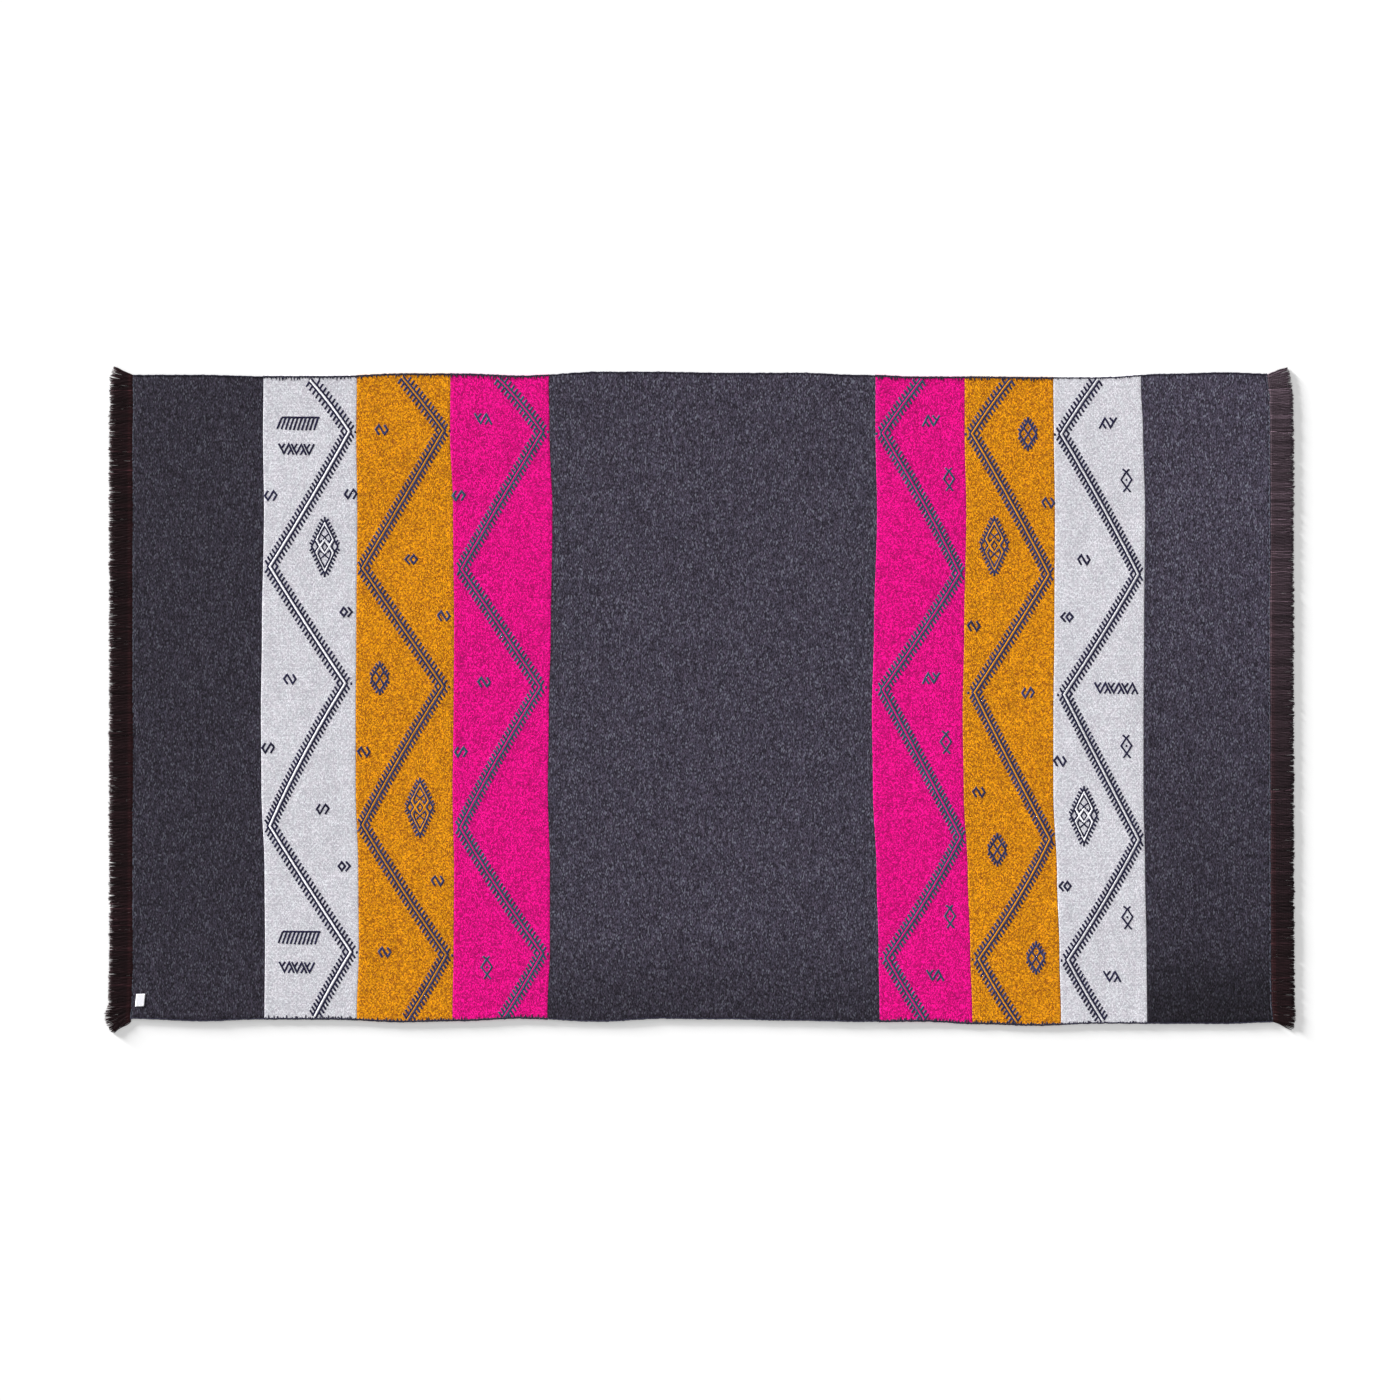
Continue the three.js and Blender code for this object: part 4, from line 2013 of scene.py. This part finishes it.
@dataclass(frozen=True)
class Studio:
    """The floor, lights and camera."""

    frame_width: float = IMAGE_SIZE * PIXEL
    lens: float = 100.0
    sensor: float = 36.0
    view_x: float = -2.5
    view_y: float = -3.9
    sky: float = 0.60
    sun_strength: float = 17.4
    sun_elevation: float = 5.9
    sun_turn: float = 230.5
    sun_softness: float = 10.0
    floor_size: float = 30
    floor_drop: float = 0.0003
    top_place: tuple = (2.0, 1.5, 9.0)
    top_size: float = 3.4
    top_watts: float = 145

    def build(self) -> None:
        """Set up the studio."""
        bpy.context.scene.view_settings.view_transform = "Standard"
        self.floor()
        self.world()
        self.sun()
        self.area("top_light", self.top_place, self.top_size, self.top_watts)
        self.camera()

    def floor(self) -> None:
        """Lay the floor."""
        bpy.ops.object.select_all(action="DESELECT")
        bpy.ops.mesh.primitive_plane_add(size=self.floor_size, location=(0, 0, -self.floor_drop))
        floor = bpy.context.object
        floor.name = "floor"
        floor.data.materials.append(FLOOR.material())

    def world(self) -> None:
        """Light the room softly from all round."""
        world = bpy.data.worlds.new("room")
        bpy.context.scene.world = world
        world.use_nodes = True
        back = next(node for node in world.node_tree.nodes if node.type == "BACKGROUND")
        back.inputs["Color"].default_value = (1.0, 1.0, 1.0, 1.0)
        back.inputs["Strength"].default_value = self.sky

    def sun(self) -> None:
        """Light the throw from low at the upper left, softly."""
        data = bpy.data.lights.new("key_light", "SUN")
        data.energy = self.sun_strength
        data.angle = math.radians(self.sun_softness)
        lamp = bpy.data.objects.new("key_light", data)
        tilt = math.radians(90 - self.sun_elevation)
        lamp.rotation_euler = (tilt, 0, math.radians(self.sun_turn))
        bpy.context.scene.collection.objects.link(lamp)

    def area(self, name: str, place: tuple, size: float, watts: float) -> None:
        """Hang a square soft light that faces the throw.

        Args:
            name: The light's name.
            place: Its place in metres.
            size: Its side in metres.
            watts: Its power.
        """
        data = bpy.data.lights.new(name, "AREA")
        data.size = size
        data.energy = watts
        lamp = bpy.data.objects.new(name, data)
        lamp.location = place
        lamp.rotation_euler = (-Vector(place)).to_track_quat("-Z", "Y").to_euler()
        bpy.context.scene.collection.objects.link(lamp)

    def camera(self) -> None:
        """Hang the camera straight above the throw."""
        data = bpy.data.cameras.new("camera")
        data.lens = self.lens
        data.sensor_width = self.sensor
        shift = FORM.shift()
        height = self.frame_width * MM * self.lens / self.sensor
        camera = bpy.data.objects.new("camera", data)
        camera.location = ((self.view_x + shift[0]) * MM, (self.view_y + shift[1]) * MM, height)
        bpy.context.scene.collection.objects.link(camera)
        bpy.context.scene.camera = camera


def main() -> None:
    """Build the throw and its studio."""
    logging.basicConfig(level=logging.INFO, format="%(name)s: %(message)s")
    Studio().build()
    Throw().build()
    log.info("boxes written")


if __name__ == "__main__":
    main()
